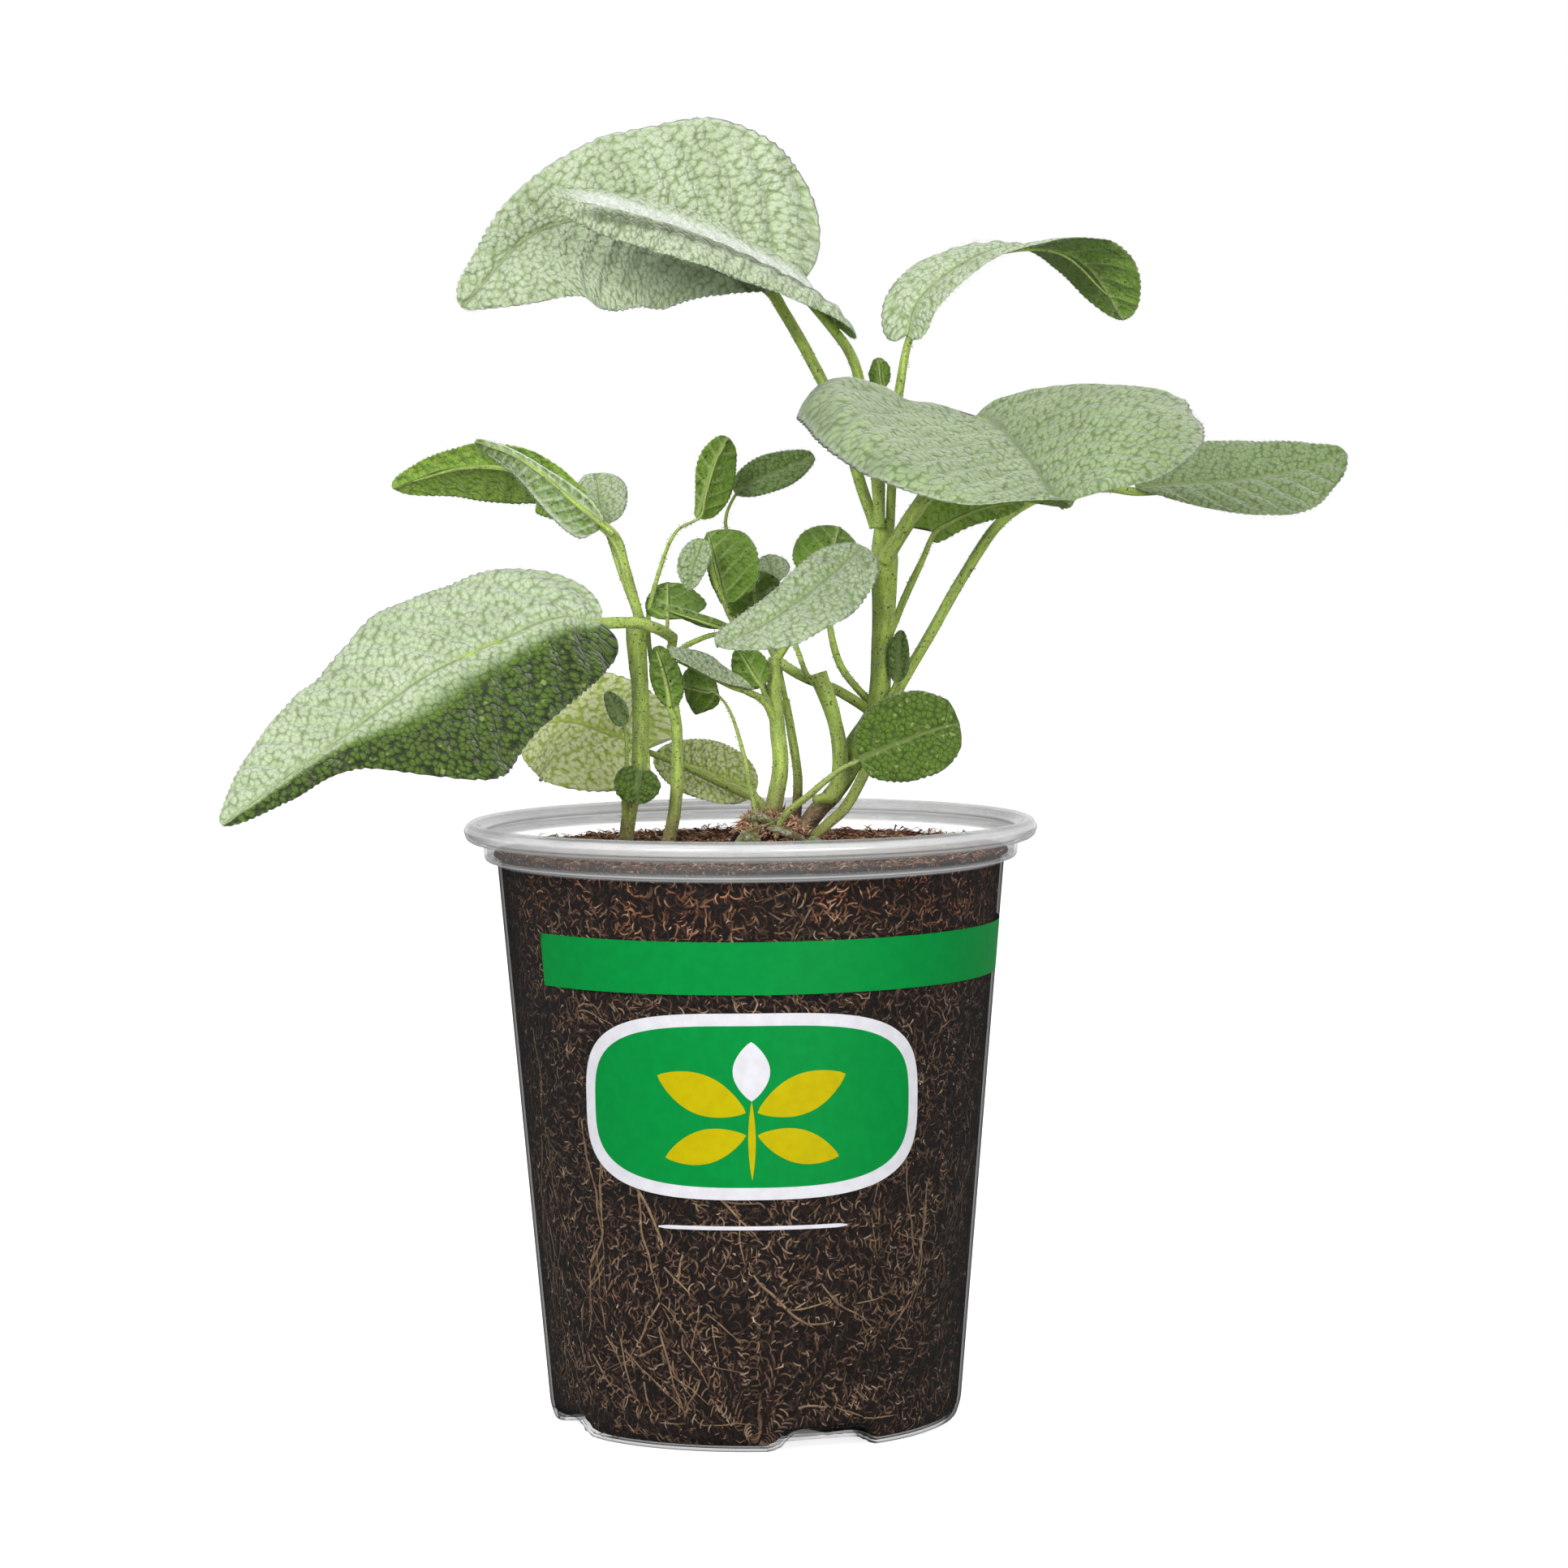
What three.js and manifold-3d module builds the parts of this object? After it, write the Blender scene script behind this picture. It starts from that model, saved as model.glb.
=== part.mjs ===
// Potted common sage: a young herb plant in a thin clear nursery pot of potting mix.
// Millimetres, +Z up, the camera's side is -Y, and the pot's feet stand on z = 0 round the origin.
import * as THREE from 'three';
import { mergeVertices } from 'three/addons/utils/BufferGeometryUtils.js';
import Module from 'manifold-3d';

const wasm = await Module();
wasm.setup();

// Driving dimensions of the pot
const potHeight = 109;
const lipRadius = 51.6;
const bandRadius = 48;
const wallTopRadius = 45.6;
const wallFootRadius = 37.2;
const baseRadius = 34.6;
const ledgeHeight = 101.8;
const bandTop = 105.6;
const wall = 0.9;
const potSides = 36;
const footAngles = [21, 111, 201, 291];
const footGapHeight = 3.5;
const footGapDepth = 12;
const footGapTop = 13.5;
const footGapBottom = 19;
const drainRadius = 2.6;

// Driving dimensions of the plant
const clearance = 0.3;
const bladeThickness = 0.7;
const soilLevel = 103.1;
const crownHeight = 5.6;
const crownAt = [4.5, 1];
const crownRadius = 11;
const toothDepth = 0.03;
const ribRelief = 0.22;
const netRelief = 0.08;
const veinSweep = 0.16;

// Colours
const clearPlastic = { color: 0xdfe3e4, roughness: 0.12, metalness: 0 };
const darkMix = { color: 0x3b2a20, roughness: 0.95, metalness: 0 };
const stemGreen = { color: 0x7f9a44, roughness: 0.7, metalness: 0 };
const sageGreen = { color: 0xa9c09a, roughness: 0.85, metalness: 0 };
const youngGreen = { color: 0x6f9a45, roughness: 0.8, metalness: 0 };

// Solids
function solidFrom(geometry) {
  const g = geometry.clone();
  g.deleteAttribute('normal');
  g.deleteAttribute('uv');
  const merged = mergeVertices(g, 1e-4);
  return new wasm.Manifold(new wasm.Mesh({
    numProp: 3,
    vertProperties: new Float32Array(merged.attributes.position.array),
    triVerts: new Uint32Array(merged.index.array),
  }));
}

function solidOf(points, faces) {
  return new wasm.Manifold(new wasm.Mesh({
    numProp: 3,
    vertProperties: new Float32Array(points.flatMap((p) => [p.x, p.y, p.z])),
    triVerts: new Uint32Array(faces.flat()),
  }));
}

function largestOf(solid) {
  const bodies = solid.decompose();
  return bodies.reduce((a, b) => (b.volume() > a.volume() ? b : a));
}

function join(list) {
  return list.reduce((a, b) => a.add(b));
}

function meshOf(name, solid, look) {
  const m = solid.getMesh();
  const g = new THREE.BufferGeometry();
  g.setAttribute('position', new THREE.BufferAttribute(new Float32Array(m.vertProperties), 3));
  g.setIndex(Array.from(m.triVerts));
  g.computeVertexNormals();
  const mesh = new THREE.Mesh(g, new THREE.MeshStandardMaterial({ ...look, flatShading: true }));
  mesh.name = name;
  return mesh;
}

// A closed solid from rings of points, each end closed on its middle
function loft(rings) {
  const sides = rings[0].length;
  const points = rings.flat();
  const middle = (ring) => ring.reduce((a, p) => a.add(p), new THREE.Vector3()).multiplyScalar(1 / sides);
  points.push(middle(rings[0]), middle(rings[rings.length - 1]));
  const first = points.length - 2;
  const last = points.length - 1;
  const top = (rings.length - 1) * sides;
  const faces = [];
  for (let k = 0; k < sides; k += 1) {
    const next = (k + 1) % sides;
    faces.push([first, next, k], [last, top + k, top + next]);
    for (let i = 0; i + 1 < rings.length; i += 1) {
      const a = i * sides + k;
      const b = i * sides + next;
      faces.push([a, b, b + sides], [a, b + sides, a + sides]);
    }
  }
  return solidOf(points, faces);
}

const vector = (p) => new THREE.Vector3(...p);

function curveThrough(points) {
  return new THREE.CatmullRomCurve3(points.map((p) => (p.isVector3 ? p : vector(p))), false, 'catmullrom', 0.5);
}

// A value read along a list of evenly spaced ones
function along(list, u) {
  const x = Math.min(Math.max(u, 0), 1) * (list.length - 1);
  const i = Math.min(Math.floor(x), list.length - 2);
  return list[i] + (list[i + 1] - list[i]) * (x - i);
}

// A round stem or stalk: rings of few sides carried along a smooth line, or the same grown all round
function tube(points, radii, sides, steps, grow = 0) {
  const curve = curveThrough(points);
  let side = null;
  const rings = [];
  for (let i = 0; i <= steps; i += 1) {
    const u = i / steps;
    const t = curve.getTangentAt(u);
    if (!side) side = Math.abs(t.z) > 0.9 ? new THREE.Vector3(1, 0, 0) : new THREE.Vector3(0, 0, 1);
    side = side.clone().addScaledVector(t, -side.dot(t)).normalize();
    const other = new THREE.Vector3().crossVectors(t, side);
    const past = i === 0 ? -grow : (i === steps ? grow : 0);
    const at = curve.getPointAt(u).addScaledVector(t, past);
    const r = along(radii, u) + grow / Math.cos(Math.PI / sides);
    rings.push(Array.from({ length: sides }, (_, k) => {
      const a = (2 * Math.PI * k) / sides;
      return at.clone().addScaledVector(side, r * Math.cos(a)).addScaledVector(other, r * Math.sin(a));
    }));
  }
  return loft(rings);
}

// Half width along a blade, from measures at stations that crowd towards its two ends
function halfWidth(list, u) {
  const w = [0, ...list, 0];
  const n = w.length - 1;
  const x = (Math.acos(1 - 2 * Math.min(Math.max(u, 0), 1)) / Math.PI) * n;
  const i = Math.min(Math.floor(x), n - 1);
  const f = x - i;
  const a = i ? w[i - 1] : -w[1];
  const d = i + 2 > n ? -w[n - 1] : w[i + 2];
  const [b, c] = [w[i], w[i + 1]];
  const value = 0.5 * (2 * b + (c - a) * f + (2 * a - 5 * b + 4 * c - d) * f * f + (3 * b - a - 3 * c + d) * f ** 3);
  return Math.max(value, 0);
}

// Rows along a blade, cells from rib to edge, sides and steps of its stalk
const leafDetail = { large: [17, 5, 6, 10], middle: [11, 3, 6, 8], small: [6, 2, 5, 5] };

const evenBlade = [0.42, 0.76, 0.96, 1, 0.88, 0.62, 0.34];

// One leaf's own measures, ready to be asked for points
class Leaf {
  constructor(spec) {
    this.spec = spec;
    this.rib = curveThrough(spec.rib);
    this.faces = spec.face.map((f) => vector(f).normalize());
    this.widths = ['left', 'right'].map((side) => spec[side] ?? evenBlade.map((w) => w * spec.half));
    this.lift = (spec.lift ?? [5, 5]).map(THREE.MathUtils.degToRad);
    this.liftTip = (spec.liftTip ?? spec.lift ?? [5, 5]).map(THREE.MathUtils.degToRad);
    this.curl = (spec.curl ?? [0, 0]).map(THREE.MathUtils.degToRad);
    this.lobe = spec.lobe ?? [0, 0];
  }

  // Directions at a place on the rib: along it, out of the upper face, and towards the right edge
  frame(u) {
    const t = this.rib.getTangentAt(Math.min(Math.max(u, 0), 1));
    const x = Math.min(Math.max(u, 0), 1) * (this.faces.length - 1);
    const i = Math.min(Math.floor(x), this.faces.length - 2);
    const up = this.faces[i].clone().lerp(this.faces[i + 1], x - i);
    up.addScaledVector(t, -up.dot(t)).normalize();
    return { t, up, side: new THREE.Vector3().crossVectors(t, up) };
  }

  // A point of the blade's middle sheet: u runs along the rib, v from the left edge to the right one
  point(u, v, widen = 1) {
    const k = v < 0 ? 0 : 1;
    const s = Math.abs(v);
    const { t, up, side } = this.frame(u);
    const w = halfWidth(this.widths[k], u) * widen;
    const l = this.lift[k] + (this.liftTip[k] - this.lift[k]) * u;
    const c = this.curl[k];
    const bent = Math.abs(c) > 1e-3;
    const out = bent ? (Math.sin(l + c * s) - Math.sin(l)) / c : s * Math.cos(l);
    const rise = bent ? (Math.cos(l) - Math.cos(l + c * s)) / c : s * Math.sin(l);
    const back = this.lobe[k] * s * s * (1 - u) ** 3 * (1 - Math.exp((-4 * w) / Math.max(...this.widths[k])));
    return this.rib.getPointAt(u)
      .addScaledVector(side, (v < 0 ? -1 : 1) * w * out)
      .addScaledVector(up, w * rise)
      .addScaledVector(t, -back);
  }

  normal(u, v) {
    const e = 0.004;
    const [u0, u1] = [Math.max(u - e, 0), Math.min(u + e, 1)];
    const [v0, v1] = [Math.max(v - e, -1), Math.min(v + e, 1)];
    const du = this.point(u1, v).sub(this.point(u0, v));
    const dv = this.point(u, v1).sub(this.point(u, v0));
    const n = new THREE.Vector3().crossVectors(dv, du);
    const up = this.frame(u).up;
    return n.length() < 1e-5 ? up : n.normalize().multiplyScalar(n.dot(up) < 0 ? -1 : 1);
  }

  // The blade: rows follow the side veins, which sweep towards the tip, and both faces are split alike
  blade(rows, half) {
    const points = [];
    const index = [];
    for (let i = 0; i <= rows; i += 1) {
      const row = [];
      const end = i === 0 || i === rows;
      const base = (1 - Math.cos((Math.PI * i) / rows)) / 2;
      for (let j = -half; j <= half; j += 1) {
        if (end && j > -half) {
          row.push(row[0]);
          continue;
        }
        const v = end ? 0 : j / half;
        const edge = Math.abs(v);
        const u = end ? base : base + veinSweep * edge * 4 * base * (1 - base) * (1 - base);
        const widen = edge === 1 ? 1 + (i % 2 ? toothDepth : -toothDepth) : 1;
        const quilt = end || edge === 1 ? 0
          : (j === 0 ? -ribRelief : (i % 2 ? ribRelief : -ribRelief)) + (j % 2 ? netRelief : -netRelief);
        const p = this.point(u, v, widen);
        const n = this.normal(end ? base : u, v);
        p.addScaledVector(n, quilt);
        row.push(points.length);
        points.push(p.clone().addScaledVector(n, bladeThickness / 2), p.clone().addScaledVector(n, -bladeThickness / 2));
      }
      index.push(row);
    }
    const faces = [];
    const add = (a, b, c) => {
      if (a !== b && b !== c && a !== c) faces.push([a, b, c]);
    };
    for (let i = 0; i < rows; i += 1) {
      for (let j = 0; j < 2 * half; j += 1) {
        const [a, b] = [index[i][j], index[i][j + 1]];
        const [c, d] = [index[i + 1][j + 1], index[i + 1][j]];
        const flip = i === 0 || (i + 1 < rows && (i + j) % 2);
        const split = flip ? [[a, b, c], [a, c, d]] : [[a, b, d], [b, c, d]];
        split.forEach(([x, y, z]) => {
          if (x === y || y === z || x === z) return;
          add(x, y, z);
          add(x + 1, z + 1, y + 1);
        });
      }
      [0, 2 * half].forEach((j) => {
        const [a, d] = [index[i][j], index[i + 1][j]];
        const wallFaces = [[a, d, d + 1], [a, d + 1, a + 1]];
        wallFaces.forEach(([x, y, z]) => (j ? add(x, z, y) : add(x, y, z)));
      });
    }
    const solid = solidOf(points, faces);
    return solid.volume() < 0 ? solidOf(points, faces.map(([a, b, c]) => [a, c, b])) : solid;
  }

  // The stalk and the rib that goes on from it under the blade
  stalk(grow = 0) {
    const [, , sides, steps] = leafDetail[this.spec.size];
    const r = this.spec.thick;
    const reach = [0.02, 0.22, 0.45, 0.68, 0.86];
    const under = reach.map((u) => {
      const depth = bladeThickness * 0.3 + r * (1 - u) * 0.7;
      return this.rib.getPointAt(u).addScaledVector(this.frame(u).up, -depth);
    });
    const stalkPoints = this.spec.stalk.map(vector);
    const radii = [...stalkPoints.map(() => r), ...reach.map((u) => Math.max(r * (1 - 0.85 * u) * 0.8, 0.34))];
    return tube([...stalkPoints, ...under], radii, sides, steps, grow);
  }

  solid() {
    const [rows, half] = leafDetail[this.spec.size];
    return this.blade(rows, half).add(this.stalk());
  }
}

// Pot
function potProfile(inset) {
  const w = inset;
  return [
    [0, w], [baseRadius - w * 0.6, w], [wallFootRadius - 0.9 - w * 0.9, 0.9 + w * 0.8], [wallFootRadius - w, 3.4],
    [wallTopRadius - w, ledgeHeight + w * 0.6],
  ];
}

function lathe(profile, sides = potSides) {
  return solidFrom(new THREE.LatheGeometry(profile.map(([r, z]) => new THREE.Vector2(r, z)), sides).rotateX(Math.PI / 2));
}

// A wedge-sided block for the gap between two feet, pointing outwards from the middle
function footGap(angle, grow) {
  const shape = new THREE.Shape();
  const b = footGapBottom / 2 + grow;
  const t = footGapTop / 2 + grow;
  const h = footGapHeight + grow;
  shape.moveTo(-b, -2).lineTo(b, -2).lineTo(b, 0).lineTo(t, h).lineTo(-t, h).lineTo(-b, 0).closePath();
  const inner = wallFootRadius - footGapDepth - grow;
  const g = new THREE.ExtrudeGeometry(shape, { depth: 20 + footGapDepth, bevelEnabled: false });
  g.rotateX(Math.PI / 2).translate(0, -inner, 0).rotateZ(THREE.MathUtils.degToRad(angle));
  return solidFrom(g);
}

function drainHole(angle) {
  const g = new THREE.CylinderGeometry(drainRadius, drainRadius, 6, 12).rotateX(Math.PI / 2);
  g.translate(0, -(wallFootRadius - footGapDepth / 2 - 1.5), footGapHeight).rotateZ(THREE.MathUtils.degToRad(angle));
  return solidFrom(g);
}

function makePot() {
  const outside = lathe([...potProfile(0),
    [bandRadius, ledgeHeight + 0.3], [bandRadius + 0.2, bandTop - 0.2], [lipRadius - 0.9, bandTop], [lipRadius - 0.1, bandTop + 0.7],
    [lipRadius, bandTop + 1.9], [lipRadius - 0.5, potHeight - 0.4], [lipRadius - 1.5, potHeight], [0, potHeight],
  ]);
  const inside = lathe([...potProfile(wall),
    [bandRadius - wall, ledgeHeight + 0.3 + wall * 0.6], [bandRadius - wall, bandTop + 1.2], [bandRadius + 0.3, potHeight - 0.7],
    [bandRadius + 1.2, potHeight + 0.01], [bandRadius + 1.2, potHeight + 5], [0, potHeight + 5],
  ]);
  const gaps = join(footAngles.map((a) => footGap(a, 0)));
  const lined = join(footAngles.map((a) => footGap(a, wall)));
  const holes = join(footAngles.map(drainHole));
  return outside.subtract(gaps).subtract(inside.subtract(lined)).subtract(holes);
}

// Potting mix: fills the pot to the stacking band, with a rough top and a raised crown round the stems
function soilTop(x, y) {
  const d = Math.hypot(x - crownAt[0], y - crownAt[1]) / crownRadius;
  const crown = d < 1 ? crownHeight * (1 - d * d) ** 2 * (1 + 0.12 * Math.sin(1.9 * x + 1.3 * y)) : 0;
  return soilLevel + crown + 0.35 * Math.sin(0.43 * x + 1.7) * Math.cos(0.37 * y) + 0.22 * Math.sin(1.1 * x - 0.9 * y);
}

function makeSoil(stemHoles) {
  const inset = wall + clearance;
  const sides = potProfile(inset).slice(1, -1);
  const rim = wallTopRadius - inset;
  const topRings = [1, 0.88, 0.73, 0.57, 0.42, 0.3, 0.2, 0.1].map((f) => f * rim);
  const ring = (r, height) => Array.from({ length: potSides }, (_, k) => {
    const a = (2 * Math.PI * k) / potSides;
    const [x, y] = [r * Math.sin(a), r * Math.cos(a)];
    return new THREE.Vector3(x, y, height ?? soilTop(x, y));
  });
  const rings = [...sides.map(([r, z]) => ring(r, z)), ring(rim, ledgeHeight), ...topRings.map((r) => ring(r))];
  const body = loft(rings.map((r) => r.slice().reverse()));
  const lined = join(footAngles.map((a) => footGap(a, inset)));
  return largestOf(body.subtract(lined).subtract(stemHoles));
}

// Stems: points up the middle line, then the radius from foot to top
const stems = {
  trunk: { points: [[-2, 1, 92], [1, 2, 99.5], [5.5, 2, 103.5], [9.5, 3, 107], [14.5, 3, 111.5], [17.5, 4, 115.5],
    [20, 5, 122], [23, 6, 128], [24, 6, 139], [24.5, 5, 150.5], [24.5, 4, 162.5]],
  radii: [3, 3, 3, 3, 3.1, 2.7, 2.4, 2.3, 2.3, 2.6, 2.3] },
  stub: { points: [[14, 2.5, 110], [16.5, 0.5, 115.5], [16.5, 0, 121.5], [15, 0, 127.5], [12.5, 0, 135]], radii: [1.9, 1.8, 1.7] },
  centre: { points: [[0, -4, 92], [1.5, -4, 100], [3, -3.5, 106], [4.5, -3, 112.5], [5.5, -3, 119], [5, -3, 125.5],
    [4.5, -3, 132.5], [4.5, -2, 138]], radii: [1.6, 1.6, 1.5, 1.4, 1.3, 1] },
  thin: { points: [[6, 7, 94], [7.5, 7.5, 102], [8.5, 7.5, 111.5], [8.5, 7, 117], [7.5, 6.5, 124], [6.5, 6.5, 130]],
    radii: [0.9, 0.9, 0.8, 0.7] },
  middle: { points: [[-16.5, -6, 92], [-15, -6, 103.5], [-13.5, -6, 111], [-13, -6, 118], [-13, -6, 125], [-13.5, -6, 130],
    [-14, -6, 137], [-13.5, -6, 142]], radii: [1.3, 1.2, 1.1, 1, 0.9, 0.8] },
  left: { points: [[-23, -4, 92], [-22.5, -4, 103.5], [-21.5, -5, 111.5], [-20, -5, 117.5], [-19.5, -6, 125],
    [-19.5, -6, 132.5], [-20, -6, 140], [-20, -5, 145.5]], radii: [1.2, 1.2, 1.3, 1.4, 1.5, 1.9] },
};

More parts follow.
